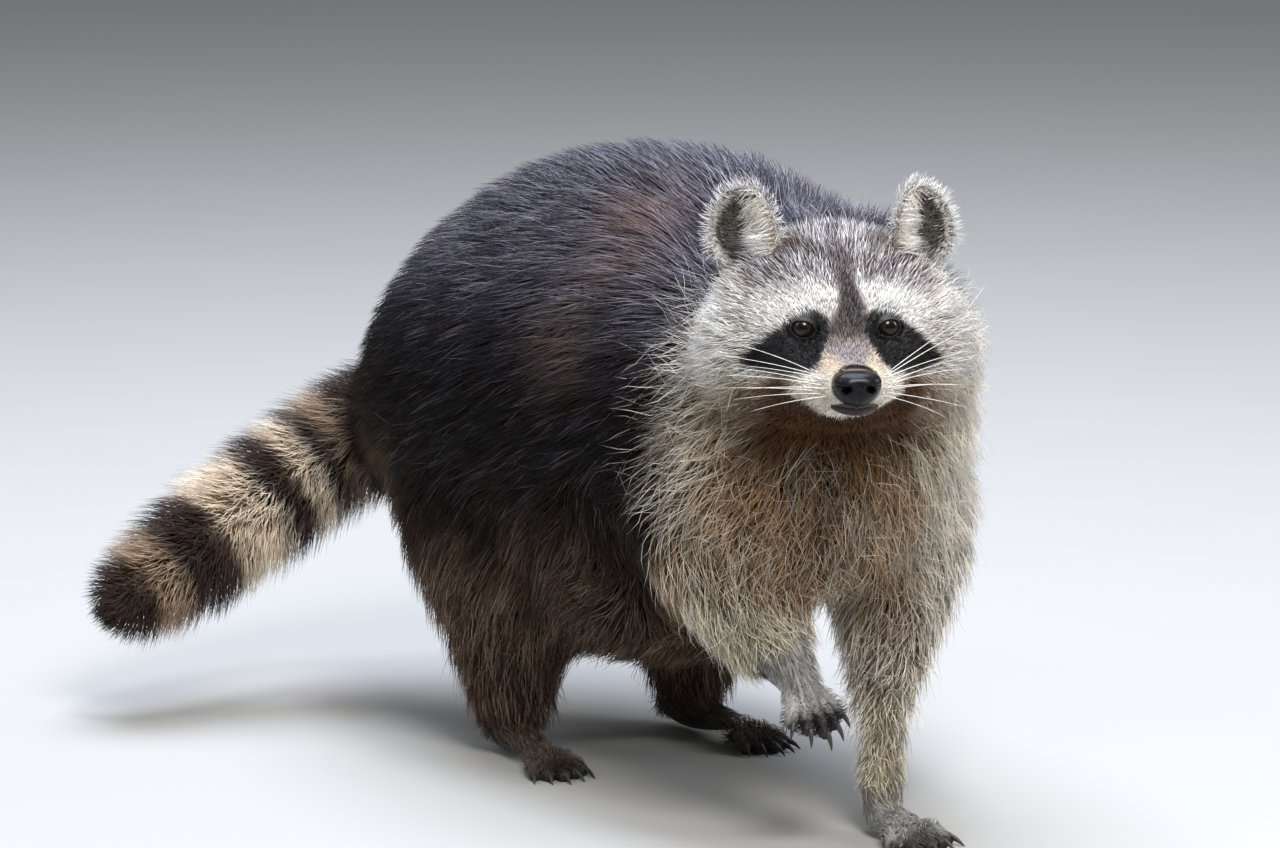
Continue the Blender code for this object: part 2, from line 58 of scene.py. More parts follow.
# Body
FLESH = ("trunk", "neck", "head", "foreleg_left", "foreleg_right", "hindleg_left", "hindleg_right",
         "tail_base", "tail_middle", "tail_tip")
FILLERS = ("nose", "eye_left", "eye_right")
PAWS = ("forepaw_left", "forepaw_right", "hindpaw_left", "hindpaw_right")
SEAM = 0.04                           # each solid is grown by this much to close the cuts
SKIN_GRID = 0.3
SKIN_STEPS = 5                        # stages in which the skin sinks under the coat
TAIL_AXIS = np.array(((-0.2, 32.5, 17.8), (-1.4, 36.0, 16.8), (-4.0, 38.2, 15.7), (-7.2, 39.0, 14.2),
                      (-11.0, 39.2, 12.0), (-18.6, 38.6, 7.9), (-22.5, 38.1, 6.2)))
TAIL_RINGS = (2.4, 4.3, 7.8, 11.3, 13.6, 15.1, 16.4, 17.6)   # ring edges from the tail's end
# The dark throat under the chin round this middle is partly the fur's own colour and partly painted shade.
THROAT_MIDDLE = np.array((-3.6, -12.0, 23.0))

# Head
EYE_ACROSS = 2.08
EYE_RADIUS = 0.68
EYE_OUTWARD = math.radians(12.0)
LID_HALF_WIDTH = 0.58
LID_HALF_HEIGHT = 0.42
LID_THICKNESS = 0.08
LID_SLANT = 0.08                      # how much the outer corner of the eye is raised
SOCKET_LEVEL = 0.42                   # the face round the eye lies this far ahead of its middle
SOCKET_SLOPE = 0.35
NOSE_CENTRE = np.array((0.0, -4.8, -2.35))
NOSE_HALF_WIDTH = 1.2
NOSTRIL = (0.58, -0.14)               # middle of a nostril, across and up from the nose's middle
LIP_REACH = 1.15
LIP_HEIGHT = -3.60
LIP_FULLNESS = 0.2                    # how far the lower lip stands out of the skin
EAR_ROOT = (4.05, 4.5, 3.05)
EAR_HALF = (1.84, 0.55, 2.25)
EAR_LIFT = 1.45
EAR_CUP = 0.75
EAR_TAPER = 0.08                      # narrower towards the tip
EAR_TURN = math.radians(28.0)
EAR_SPLAY = math.radians(17.0)
EAR_TILT = math.radians(8.0)
EARS = ((1, "ear_left"), (-1, "ear_right"))
FACE_FALL = 0.13                      # how fast face marks sink towards the nose

# Coat
SHORT = 2                             # segments of a short tuft
LONG = 3
WAVY = 5
STRANDS = 5.4                         # wavy hairs per square centimetre of chest
PATCH = 0.003                         # size of a tuft's place on the unwrap
PIECE_LIMIT = 190000                  # triangles
SHARE = 1.0    # how much of the coat is grown
rng = np.random.default_rng(11)


# ---------------------------------------------------------------- small helpers

def middle(node):
    """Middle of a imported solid's box, in metres."""
    low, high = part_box(node)
    return (low + high) / 2


def head_axes():
    """Origin of the head's frame and its axes as columns, in the world."""
    left, right = middle("eye_left"), middle("eye_right")
    centre = (left + right) / 2
    across = (left - right).normalized()
    ahead = middle("nose") - centre
    ahead = (ahead - across * ahead.dot(across)).normalized()
    back = across.cross(ahead) * math.sin(MUZZLE_SLOPE) - ahead * math.cos(MUZZLE_SLOPE)
    up = across.cross(back)
    origin = centre + back * (EYE_DEPTH * CM)
    return np.array(origin), np.array((across, back, up)).T


HEAD_ORIGIN, HEAD_AXES = head_axes()
BODY_ORIGIN = HEAD_ORIGIN - EYES_IN_BODY * CM
HEAD_MATRIX = Matrix.Translation(EYES_IN_BODY.tolist()) @ Matrix(HEAD_AXES.tolist()).to_4x4()


def to_world(points):
    return np.asarray(points) * CM + BODY_ORIGIN


def to_head(points):
    return (np.asarray(points) - EYES_IN_BODY) @ HEAD_AXES


def from_head(points):
    return np.asarray(points) @ HEAD_AXES.T + EYES_IN_BODY


def smoothstep(low, high, value):
    t = np.clip((value - low) / (high - low), 0.0, 1.0)
    return t * t * (3.0 - 2.0 * t)


def within(value, edge, soft):
    """One where the value stays below the edge."""
    return smoothstep(edge + soft, edge - soft, value)


def vectors(x, y, z):
    """A vector for each point, from its parts."""
    return np.stack(np.broadcast_arrays(x, y, z), axis=1)


def unit(ways):
    return ways / np.maximum(np.linalg.norm(ways, axis=-1, keepdims=True), 1e-9)


def gap_to(points, place):
    return np.linalg.norm(points - place, axis=1)


def tangent_part(ways, normals):
    """The vectors laid into the surface, as unit vectors."""
    return unit(ways - normals * (ways * normals).sum(-1, keepdims=True))


def mix(first, second, share):
    share = np.asarray(share)[..., None]
    return first * (1.0 - share) + second * share


def apply_modifiers(item):
    graph = bpy.context.evaluated_depsgraph_get()
    mesh = bpy.data.meshes.new_from_object(item.evaluated_get(graph))
    item.modifiers.clear()
    item.data = mesh
    return item


def link(name, data):
    item = bpy.data.objects.new(name, data)
    bpy.context.scene.collection.objects.link(item)
    return item


def object_from(name, bm):
    mesh = bpy.data.meshes.new(name)
    bm.to_mesh(mesh)
    bm.free()
    return link(name, mesh)


def read(items, label, width, kind=np.float32):
    """One value or row of values for each item of a mesh."""
    values = np.empty(len(items) * width, kind)
    items.foreach_get(label, values)
    return values.reshape(-1, width)


def read_points(mesh):
    return read(mesh.vertices, "co", 3).astype(float)


def write_points(mesh, points):
    mesh.vertices.foreach_set("co", np.asarray(points, np.float32).ravel())
    mesh.update()


def read_normals(mesh):
    return read(mesh.vertex_normals, "vector", 3).astype(float)


def read_edges(mesh):
    return read(mesh.edges, "vertices", 2, np.int32)


def write_paint(mesh, colours):
    """Keep a colour for each point in the attribute that the shaders read."""
    opaque = np.concatenate((colours, np.ones((len(colours), 1))), axis=1)
    layer = mesh.color_attributes.new("coat", "FLOAT_COLOR", "POINT")
    layer.data.foreach_set("color", opaque.astype(np.float32).ravel())


def surface_tree(item):
    """The surface of a piece as a search tree."""
    faces = [tuple(face.vertices) for face in item.data.polygons]
    return BVHTree.FromPolygons(read_points(item.data).tolist(), faces)


def point_tree(points):
    tree = KDTree(len(points))
    for i, point in enumerate(points):
        tree.insert(point, i)
    tree.balance()
    return tree


def spread(values, edges, rounds):
    """Even out values over a mesh by moving each halfway to its neighbours' mean."""
    count = len(values)
    ends = np.concatenate((edges[:, 0], edges[:, 1]))
    others = np.concatenate((edges[:, 1], edges[:, 0]))
    degree = np.maximum(np.bincount(ends, minlength=count), 1)
    result = np.array(values, float)
    flat = result.reshape(count, -1)
    for _ in range(rounds):
        for k in range(flat.shape[1]):
            total = np.bincount(ends, weights=flat[others, k], minlength=count)
            flat[:, k] += 0.5 * (total / degree - flat[:, k])
    return result


def finish_piece(item, slot_name, *nodes):
    """Bring a finished piece from the body's frame to the world, hang it on the root body and hide the
    solids it replaces.
    """
    item.data.transform(Matrix.Translation(BODY_ORIGIN.tolist()) @ Matrix.Scale(CM, 4))
    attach(item, "root")
    if nodes:
        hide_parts(*nodes)
    return item


# ---------------------------------------------------------------- forms

def grown_copy(node):
    """A node's surface as a bmesh in the body's frame, pushed outwards to meet its neighbours."""
    bm = bmesh.new()
    bm.from_mesh(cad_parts[node].data)
    bmesh.ops.remove_doubles(bm, verts=bm.verts, dist=1e-5)
    bmesh.ops.translate(bm, vec=Vector((-BODY_ORIGIN).tolist()), verts=bm.verts)
    bmesh.ops.scale(bm, vec=Vector((1 / CM,) * 3), verts=bm.verts)
    bm.normal_update()
    for vert in bm.verts:
        vert.co += vert.normal * SEAM
    return bm


def joined(name, bmeshes):
    whole = bmesh.new()
    for bm in bmeshes:
        mesh = bpy.data.meshes.new("joining")
        bm.to_mesh(mesh)
        bm.free()
        whole.from_mesh(mesh)
        bpy.data.meshes.remove(mesh)
    return object_from(name, whole)


def placed(bm, matrix):
    bmesh.ops.transform(bm, matrix=matrix, verts=bm.verts)
    return bm


def tube(stations, sides, flatten=1.0):
    """A closed, tapering round form through stations of (x, y, z, radius)."""
    bm = bmesh.new()
    rows = np.asarray(stations, float)
    ahead = np.gradient(rows[:, :3], axis=0)
    side = np.array((1.0, 0.0, 0.0))
    loops = []
    for row, way in zip(rows, unit(ahead)):
        side = side - way * side.dot(way)
        if np.linalg.norm(side) < 1e-3:
            side = np.cross(way, (0.0, 0.0, 1.0))
        side = side / np.linalg.norm(side)
        up = np.cross(way, side)
        ring = []
        for k in range(sides):
            angle = 2 * math.pi * k / sides
            place = row[:3] + row[3] * (side * math.cos(angle) + up * (flatten * math.sin(angle)))
            ring.append(bm.verts.new(place.tolist()))
        loops.append([bm.edges.new((ring[k - 1], ring[k])) for k in range(sides)])
        if len(loops) in (1, len(rows)):
            bm.faces.new(ring)
    for first, second in zip(loops, loops[1:]):
        bmesh.ops.bridge_loops(bm, edges=first + second)
    bmesh.ops.recalc_face_normals(bm, faces=bm.faces)
    return bm


def ball(segments, rings, half_sizes=(1.0, 1.0, 1.0), centre=(0.0, 0.0, 0.0)):
    bm = bmesh.new()
    bmesh.ops.create_uvsphere(bm, u_segments=segments, v_segments=rings, radius=1.0)
    bmesh.ops.scale(bm, vec=Vector(half_sizes), verts=bm.verts)
    bmesh.ops.translate(bm, vec=Vector(centre), verts=bm.verts)
    return bm


# ---------------------------------------------------------------- paws and ears

TOE_COUNT = 5
TOE_SPACING = 0.42
TOE_SETBACK = 0.16
TOE_SHORTENING = 0.07
TOE_FOOTING = 0.62                    # height of a toe's middle over the sole
TOE_RADIUS = 0.42
TOE_ROWS = (                          # place along a toe, share of its radius, and lift
    (-0.45, 0.85, 0.0), (-0.1, 0.95, 0.08), (0.15, 1.0, 0.1), (0.38, 0.86, 0.08), (0.55, 0.9, 0.02),
    (0.72, 0.86, -0.1), (0.88, 0.84, -0.2), (0.97, 0.6, -0.22), (1.0, 0.25, -0.22))
CLAW_START = 0.86                     # share of the toe's length
CLAW_LENGTH = 1.0
CLAW_RADIUS = 0.17
CLAW_POINT = 0.012
CLAW_LOWERING = 0.064
CLAW_DROP = 0.45
SOLE_CUT = 0.12
FOREPAW_TOES = (2.9, 2.5, math.radians(15.0))     # start, length and fan
HINDPAW_TOES = (6.0, 2.2, math.radians(11.0))
FOREPAW_LEFT = Matrix.Translation((2.0, -5.4, -SOLE_CUT))
FOREPAW_RIGHT = (Matrix.Translation((-4.0, -5.4, 10.3)) @ Matrix.Rotation(math.radians(14.0), 4, "Z")
                 @ Matrix.Rotation(math.radians(42.0), 4, "X") @ Matrix.Translation((0.0, 0.2, -1.1)))
HIND_PLACE = (5.7, 20.6, -SOLE_CUT)
HIND_TURN = math.radians(7.0)
PALM = ((1.4, 2.2, 1.05), (0.0, -1.7, 0.95))      # half sizes and middle
HIND_SOLE = ((0.0, 2.4, 1.1, 0.6), (0.0, 2.0, 1.1, 1.05), (0.0, 0.6, 1.2, 1.25), (0.0, -2.0, 1.1, 1.25),
             (0.0, -4.6, 1.0, 1.35), (0.0, -6.2, 0.85, 1.1), (0.0, -7.0, 0.75, 0.6))
ANKLE = ((6.0, 20.6, 6.0, 2.4), (5.8, 20.6, 4.4, 2.3), (5.7, 20.4, 2.6, 2.1), (5.7, 20.2, 1.4, 1.6))
WRISTS = {
    "forepaw_left": ((2.7, -4.6, 6.2, 1.4), (2.2, -5.2, 4.2, 1.25), (2.0, -5.6, 2.2, 1.15),
                     (2.0, -5.8, 1.1, 0.95)),
    "forepaw_right": ((-4.6, -3.8, 12.0, 2.1), (-4.1, -5.6, 10.1, 1.65), (-3.9, -6.5, 9.2, 1.15)),
    "hindpaw_left": ANKLE,
    "hindpaw_right": tuple((-x, y, z, radius) for x, y, z, radius in ANKLE),
}


def toes_of(name):
    return FOREPAW_TOES if name.startswith("fore") else HINDPAW_TOES


def paw_frame(name):
    """Matrix from a paw's own frame, its sole on z = 0, to the body's."""
    if name == "forepaw_left":
        return FOREPAW_LEFT
    if name == "forepaw_right":
        return FOREPAW_RIGHT
    side = 1 if name.endswith("left") else -1
    place = Vector((side * HIND_PLACE[0], HIND_PLACE[1], HIND_PLACE[2]))
    return Matrix.Translation(place) @ Matrix.Rotation(side * HIND_TURN, 4, "Z")


def toe_places(name):
    """Root, heading and length of each toe of a paw, in the paw's frame."""
    start, length, fan = toes_of(name)
    for k in range(TOE_COUNT):
        offset = k - (TOE_COUNT - 1) / 2
        heading = fan * offset
        forward = np.array((math.sin(heading), -math.cos(heading), 0.0))
        root = np.array((TOE_SPACING * offset, -start + TOE_SETBACK * abs(offset), TOE_FOOTING))
        yield root, forward, length * (1.0 - TOE_SHORTENING * abs(offset) ** 1.5)


def toe_forms(name):
    """The toes of one paw, ready to be merged with the skin."""
    for root, forward, length in toe_places(name):
        rows = [(*(root + forward * (length * t) + np.array((0, 0, lift))), TOE_RADIUS * size)
                for t, size, lift in TOE_ROWS]
        yield placed(tube(rows, 16), paw_frame(name))


def paw_core(name):
    """Palm or sole and the wrist or ankle above it."""
    core = ball(24, 16, *PALM) if name.startswith("fore") else tube(HIND_SOLE, 20, flatten=0.92)
    return [placed(core, paw_frame(name)), tube(WRISTS[name], 20)]


def claws():
    """All claws as one piece of curved, tapering horn."""
    forms = []
    for name in PAWS:
        for root, forward, length in toe_places(name):
            rows = []
            for t in np.linspace(0.0, 1.0, 8):
                place = root + forward * (length * CLAW_START + CLAW_LENGTH * t)
                place = place - np.array((0.0, 0.0, CLAW_LOWERING + CLAW_DROP * t * t))
                rows.append((*place, CLAW_RADIUS * (1.0 - t) ** 0.7 + CLAW_POINT))
            nail = placed(tube(rows, 8, flatten=1.2), paw_frame(name))
            for vert in nail.verts:
                vert.co.z = max(vert.co.z, 0.01)
            forms.append(nail)
    return joined("claws", forms)


def ear_matrix(side):
    root = Matrix.Translation((side * EAR_ROOT[0], EAR_ROOT[1], EAR_ROOT[2]))
    turn = (Matrix.Rotation(side * EAR_TURN, 4, "Z") @ Matrix.Rotation(side * EAR_SPLAY, 4, "Y")
            @ Matrix.Rotation(-EAR_TILT, 4, "X"))
    return HEAD_MATRIX @ root @ turn


def ear_form(side):
    """A thin cupped ear, hollow in front."""
    bm = ball(40, 28)
    for vert in bm.verts:
        x, y, z = vert.co
        hollow = 0.42 + 0.25 * math.exp(-((x * 1.6) ** 2 + (z + 0.35) ** 2 * 3.0))
        depth = y if y > 0.0 else -hollow * y
        wide = EAR_HALF[0] * (1.0 - EAR_TAPER * z)
        vert.co = (x * wide, depth * EAR_HALF[1] - EAR_CUP * x * x, z * EAR_HALF[2] + EAR_LIFT)
    return placed(bm, ear_matrix(side))


# ---------------------------------------------------------------- skin

DEPTHS = {                            # how deep the skin lies under the tips of the coat
    "trunk": 2.1, "neck": 1.9, "head": 0.9, "ear_left": 0.14, "ear_right": 0.14,
    "foreleg_left": 1.5, "foreleg_right": 1.5, "hindleg_left": 1.7, "hindleg_right": 1.7,
    "tail_base": 2.0, "tail_middle": 2.0, "tail_tip": 2.0,
    "forepaw_left": 0.1, "forepaw_right": 0.1, "hindpaw_left": 0.12, "hindpaw_right": 0.12,
}
NODES = tuple(DEPTHS)


def node_labels(points):
    """For each point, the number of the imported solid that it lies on."""
    places, labels = [], []
    for number, node in enumerate(NODES):
        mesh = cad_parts[node].data
        corners = (read_points(mesh) - BODY_ORIGIN) / CM
        mesh.calc_loop_triangles()
        for triangle in mesh.loop_triangles:
            places.append(corners[list(triangle.vertices)].mean(0))
            labels.append(number)
    tree = point_tree(places)
    return np.array([labels[tree.find(point)[1]] for point in points])


def node_share(weights, word):
    """Share of the nodes whose names hold the word."""
    return weights[:, [i for i, node in enumerate(NODES) if word in node]].sum(1)


def wrist_distance(points):
    """Distance to the nearest wrist or ankle, measured up the limb."""
    return np.min([gap_to(points, WRISTS[name][-1][:3]) for name in PAWS], axis=0)


def coat_depth(points, weights):
    """Depth of the coat at points on its outside."""
    depth = weights @ np.array(list(DEPTHS.values()))
    limbs = node_share(weights, "leg") + node_share(weights, "paw")
    reach = smoothstep(0.2, 7.5, wrist_distance(points))
    depth = depth * (1.0 - limbs) + limbs * (0.12 + 1.5 * reach)
    head = node_share(weights, "head")
    q = to_head(points)
    face = (0.14 + 0.2 * smoothstep(-4.2, -1.2, q[:, 1]) + 0.35 * smoothstep(0.4, 4.5, q[:, 1])
            + 0.75 * smoothstep(3.6, 6.8, np.abs(q[:, 0])) * smoothstep(3.0, 0.0, q[:, 2])
            + 0.9 * smoothstep(1.0, 6.5, q[:, 1]) * smoothstep(0.5, -4.0, q[:, 2]))
    depth = depth * (1.0 - head) + head * face
    return depth * (0.3 + 0.7 * smoothstep(0.5, 6.0, gap_to(points, TAIL_AXIS[-1])))


def outer_form():
    """The outside of the coat as one smooth, even surface."""
    forms = [grown_copy(node) for node in FLESH + FILLERS]
    for name in PAWS:
        forms += paw_core(name)
    item = joined("outside", forms)
    merge = item.modifiers.new("merge", "REMESH")
    merge.mode = "VOXEL"
    merge.voxel_size = SKIN_GRID
    smooth = item.modifiers.new("smooth", "SMOOTH")
    smooth.factor = 0.5
    smooth.iterations = 4
    return apply_modifiers(item)


def sink(item, depths):
    """Move the surface inwards by its depths, evening it out on the way."""
    mesh = item.data
    edges = read_edges(mesh)
    points = read_points(mesh)
    for _ in range(SKIN_STEPS):
        points = points - read_normals(mesh) * (depths / SKIN_STEPS)[:, None]
        points = mix(points, spread(points, edges, 4), smoothstep(0.4, 1.2, depths) * 0.9)
        write_points(mesh, points)


def unite(item, bm):
    """Boolean union with a closed form."""
    other = object_from("form", bm)
    modifier = item.modifiers.new("unite", "BOOLEAN")
    modifier.operation = "UNION"
    modifier.solver = "MANIFOLD"
    modifier.object = other
    apply_modifiers(item)
    bpy.data.objects.remove(other, do_unlink=True)


def refine(item, centre, radius, cuts):
    """Split the faces near a point of the head's frame into finer ones."""
    bm = bmesh.new()
    bm.from_mesh(item.data)
    place = Vector(from_head(centre).tolist())
    near = [face for face in bm.faces if (face.calc_center_median() - place).length < radius]
    edges = list({edge for face in near for edge in face.edges})
    bmesh.ops.subdivide_edges(bm, edges=edges, cuts=cuts, use_grid_fill=True)
    bmesh.ops.triangulate(bm, faces=[face for face in bm.faces if len(face.verts) > 4])
    bm.to_mesh(item.data)
    bm.free()
    item.data.update()


def eye_axes(side):
    """Eye centre and its axes outwards, along the gaze and up, in the head's frame."""
    centre = np.array((side * EYE_ACROSS, -EYE_DEPTH, 0.0))
    gaze = np.array((side * math.sin(EYE_OUTWARD), -math.cos(EYE_OUTWARD), 0.0))
    outwards = np.array((side * math.cos(EYE_OUTWARD), math.sin(EYE_OUTWARD), 0.0))
    return centre, outwards, gaze, np.array((0.0, 0.0, 1.0))


def shape_lids(item):
    """Ease the skin round each eyeball, wrap it in lids and open it between them."""
    q = to_head(read_points(item.data))
    for side in (1, -1):
        centre, outwards, gaze, up = eye_axes(side)
        d = q - centre
        a, c, f = d @ outwards, d @ up, d @ gaze
        ring = np.hypot(a, c)
        near = (ring < 2.6) & (f > -2.5)
        easing = smoothstep(2.6, 0.9, ring)
        eased = f + easing * (SOCKET_LEVEL - SOCKET_SLOPE * c - f) * 0.75
        lid_radius = EYE_RADIUS + LID_THICKNESS
        dome = np.sqrt(np.maximum(lid_radius ** 2 - ring ** 2, 0.0))
        lid = np.maximum(eased, dome - 3.0 * smoothstep(0.64, 1.3, ring))
        opening = (a / LID_HALF_WIDTH) ** 2 + ((c - LID_SLANT * a) / LID_HALF_HEIGHT) ** 2
        rim = np.where(opening < 2.2, np.minimum(lid, dome + 0.02), lid)
        inside = np.sqrt(np.maximum(EYE_RADIUS ** 2 - ring ** 2, 0.0)) - 0.28
        target = np.where(opening < 1.0, inside, rim)
        q = np.where(near[:, None], q + gaze * (target - f)[:, None], q)
    write_points(item.data, from_head(q))


def sink_nose(item):
    """Draw the skin back behind the nose pad, which is a piece of its own."""
    q = to_head(read_points(item.data))
    d = (q - NOSE_CENTRE) / (NOSE_HALF_WIDTH, 1.0, 0.95)
    ring = np.hypot(d[:, 0], d[:, 2])
    q[:, 1] += smoothstep(-4.1, -4.6, q[:, 1]) * smoothstep(1.12, 0.8, ring)
    write_points(item.data, from_head(q))


def make_skin():
    """Skin under the whole coat, and the coat's outside as a search tree."""
    skin = outer_form()
    skin.name = "skin"
    outside = surface_tree(skin)
    points = read_points(skin.data)
    edges = read_edges(skin.data)
    weights = spread(np.eye(len(NODES))[node_labels(points)], edges, 14)
    sink(skin, spread(coat_depth(points, weights), edges, 8))
    for side, _ in EARS:
        unite(skin, ear_form(side))
    for name in PAWS:
        for toe in toe_forms(name):
            unite(skin, toe)
    for side in (1, -1):
        refine(skin, (side * EYE_ACROSS, -0.5, 0.0), 1.5, 5)
    refine(skin, (0.0, -4.4, -3.3), 1.9, 1)
    shape_lids(skin)
    sink_nose(skin)
    points = read_points(skin.data)
    points[:, 2] = np.maximum(points[:, 2], 0.0)
    write_points(skin.data, points)
    return skin, outside


# ---------------------------------------------------------------- the lie of the coat

def tail_place(points):
    """Distance from the tail's end, and the way towards that end, for points near the tail."""
    lengths = np.linalg.norm(np.diff(TAIL_AXIS, axis=0), axis=1)
    from_end = np.concatenate((np.cumsum(lengths[::-1])[::-1], (0.0,)))
    best = np.full(len(points), 1e9)
    place = np.zeros(len(points))
    way = np.zeros((len(points), 3))
    for k, length in enumerate(lengths):
        ahead = (TAIL_AXIS[k + 1] - TAIL_AXIS[k]) / length
        along = (points - TAIL_AXIS[k]) @ ahead
        t = np.clip(along, 0.0, None if k == len(lengths) - 1 else length)
        gap = gap_to(points, TAIL_AXIS[k] + ahead * np.clip(along, 0.0, length)[:, None])
        closer = gap < best
        best = np.where(closer, gap, best)
        place = np.where(closer, from_end[k] - t, place)
        way[closer] = ahead
    return place, way


def ear_space(points, side):
    """Points in an ear's own frame: across, back and up from its root."""
    inverse = np.array(ear_matrix(side).inverted())
    return points @ inverse[:3, :3].T + inverse[:3, 3]


def ear_place(points, side):
    """How far outwards and up points lie on an ear, its rim being one away from its middle."""
    e = ear_space(points, side)
    return side * e[:, 0] / EAR_HALF[0], (e[:, 2] - EAR_LIFT) / EAR_HALF[2]


def ear_front(normals, side):
    """One on the side of an ear that faces ahead."""
    facing = normals @ np.array(ear_matrix(side))[:3, 1]
    return smoothstep(0.1, -0.3, facing)


def from_ear(ways, side):
    """Unit vectors in the body's frame from ways in an ear's frame."""
    return unit(ways @ np.array(ear_matrix(side))[:3, :3].T)


def body_flow(points, normals):
    """Lie of the coat on the trunk, backwards along the back and down the sides."""
    side = np.abs(normals[:, 0])
    down = 0.12 + 0.75 * side + 0.9 * smoothstep(0.2, 0.9, np.abs(normals[:, 1]))
    down = down * smoothstep(-0.9, -0.2, normals[:, 2]) * (0.75 + 0.5 * smoothstep(20.0, 8.0, points[:, 2]))
    back = 1.0 - 0.75 * smoothstep(-0.1, -0.8, normals[:, 1]) * smoothstep(2.0, -6.0, points[:, 1])
    flow = vectors(0.10 * np.sign(points[:, 0]) * side, back, -down)
    chest = smoothstep(0.0, -5.0, points[:, 1]) * smoothstep(0.5, -0.2, normals[:, 2])
    apart = vectors(0.55 * np.clip((points[:, 0] + 0.8) / 7.0, -1.0, 1.0), 0.25, -1.0)
    return unit(mix(unit(flow), unit(apart), chest))


def limb_flow(points):
    """Lie of the coat on the legs, down towards each paw."""
    ankles = np.array([WRISTS[name][-1][:3] for name in PAWS]) - (0.0, 0.5, 1.0)
    gaps = np.stack([gap_to(points, ankle) for ankle in ankles])
    flow = unit(ankles[gaps.argmin(0)] - points)
    flow[:, 2] -= 0.6
    flow[:, 1] += 0.35 * smoothstep(5.0, 12.0, gaps.min(0))
    return unit(flow)


def paw_space(points, normals):
    """Places in the nearest paw's frame, how each faces there, the way ahead and the toes' span."""
    place, facing, ahead = np.zeros_like(points), np.zeros_like(points), np.zeros_like(points)
    span = np.zeros((len(points), 2))
    nearest = np.full(len(points), 1e9)
    for name in PAWS:
        matrix = np.array(paw_frame(name))
        axes, origin = matrix[:3, :3], matrix[:3, 3]
        gap = gap_to(points, origin - 2.0 * axes[:, 1])
        closer = gap < nearest
        nearest = np.where(closer, gap, nearest)
        place[closer] = (points[closer] - origin) @ axes
        facing[closer] = normals[closer] @ axes
        ahead[closer] = axes @ (0.0, -1.0, -0.3)
        span[closer] = toes_of(name)[:2]
    return place, facing, unit(ahead), span


def head_flow(points):
    """The face's hair runs away from the nose, up the brow and out over the cheeks."""
    q = to_head(points)
    away = unit(q - (0.0, -5.9, -2.0))
    away[:, 2] -= 0.55 * smoothstep(2.5, 7.0, np.abs(q[:, 0])) * smoothstep(2.0, -2.5, q[:, 2])
    away[:, 0] += 0.25 * np.sign(q[:, 0]) * smoothstep(1.0, 4.0, np.abs(q[:, 0]))
    return unit(away @ HEAD_AXES.T)


def neck_flow(normals):
    """Away from the face, and more and more downwards towards the throat."""
    throat = smoothstep(0.3, -0.5, normals[:, 2]) + smoothstep(-0.2, -0.8, normals[:, 1])
    return unit(mix(HEAD_AXES[:, 1], np.array((0.0, 0.0, -1.0)), np.clip(0.25 + throat, 0.0, 0.85)))


def ear_flow(points, normals, side):
    """Up the back of the ear and across its hollow from the inner edge."""
    up = vectors(0.25 * ear_space(points, side)[:, 0], 0.1, 1.0)
    across = np.array((side * 0.9, -0.2, 0.55))
    return from_ear(mix(unit(up), unit(across), ear_front(normals, side)), side)


def skin_fields(skin):
    """Per-point share of each region, and lie, depth and length of the coat."""
    mesh = skin.data
    points, normals, edges = read_points(mesh), read_normals(mesh), read_edges(mesh)
    weights = spread(np.eye(len(NODES))[node_labels(points)], edges, 6)
    place, _, ahead, span = paw_space(points, normals)
    from_tail_end, tail_way = tail_place(points)
    ways = {
        "trunk": body_flow(points, normals), "neck": neck_flow(normals), "head": head_flow(points),
        "leg": limb_flow(points), "paw": ahead, "tail": tail_way,
        "ear_left": ear_flow(points, normals, 1), "ear_right": ear_flow(points, normals, -1),
    }
    shares = {name: node_share(weights, name) for name in ways}
    flow = sum(shares[name][:, None] * way for name, way in ways.items())
    for _ in range(3):
        flow = spread(tangent_part(flow, normals), edges, 6)
    q = to_head(points)
    ruff = smoothstep(3.2, 6.2, np.abs(q[:, 0])) * smoothstep(2.5, -1.0, q[:, 2])
    throat = smoothstep(0.0, 4.0, q[:, 1]) * smoothstep(-2.0, -4.5, q[:, 2])
    crown = smoothstep(1.0, 3.5, q[:, 1]) * smoothstep(2.4, 4.0, q[:, 2])
    face = (0.42 + 0.55 * smoothstep(0.5, 3.5, q[:, 1]) + 1.25 * ruff * smoothstep(-0.5, 2.5, q[:, 1])
            - 0.12 * smoothstep(-2.5, -4.5, q[:, 1]) + 1.1 * throat + 0.35 * crown)
    rear = smoothstep(5.0, 10.0, points[:, 1])
    raised = smoothstep(-1.5, -3.0, points[:, 0]) * smoothstep(0.0, -2.5, points[:, 1])
    limb = 0.85 + 0.9 * rear + 0.5 * raised
    limb += (1.6 - 0.6 * rear) * smoothstep(0.8, 6.5, wrist_distance(points))
    wrist = smoothstep(-span[:, 0] - 0.5, -0.4 * span[:, 0], place[:, 1]) * smoothstep(0.6, 1.6, place[:, 2])
    lengths = {
        "trunk": 3.2, "neck": 2.6, "head": face, "leg": limb, "paw": 0.34 + (0.9 + 0.6 * rear) * wrist,
        "tail": 0.9 + 1.2 * smoothstep(1.0, 6.0, from_tail_end), "ear_left": 0.4, "ear_right": 0.4,
    }
    length = sum(shares[name] * value for name, value in lengths.items())
    chest = smoothstep(1.0, -4.0, points[:, 1]) * (shares["trunk"] + shares["neck"] + 0.6 * shares["leg"])
    low = smoothstep(16.0, 12.0, points[:, 2]) * (shares["leg"] + 0.8 * shares["paw"] * wrist)
    return {
        "points": points, "normals": normals, "shares": shares, "flow": tangent_part(flow, normals),
        "depth": spread(coat_depth(points, weights), edges, 4), "length": spread(length, edges, 4),
        "head": q, "crown": crown,
        "loose": np.clip(chest + 0.6 * shares["head"] * ruff + 0.35 * shares["tail"], 0.0, 1.0),
        "fluff": 0.8 * shares["tail"] + 0.5 * crown * shares["head"],
        "lift": spread(low * (0.55 * raised + 0.3 * rear), edges, 4),
    }


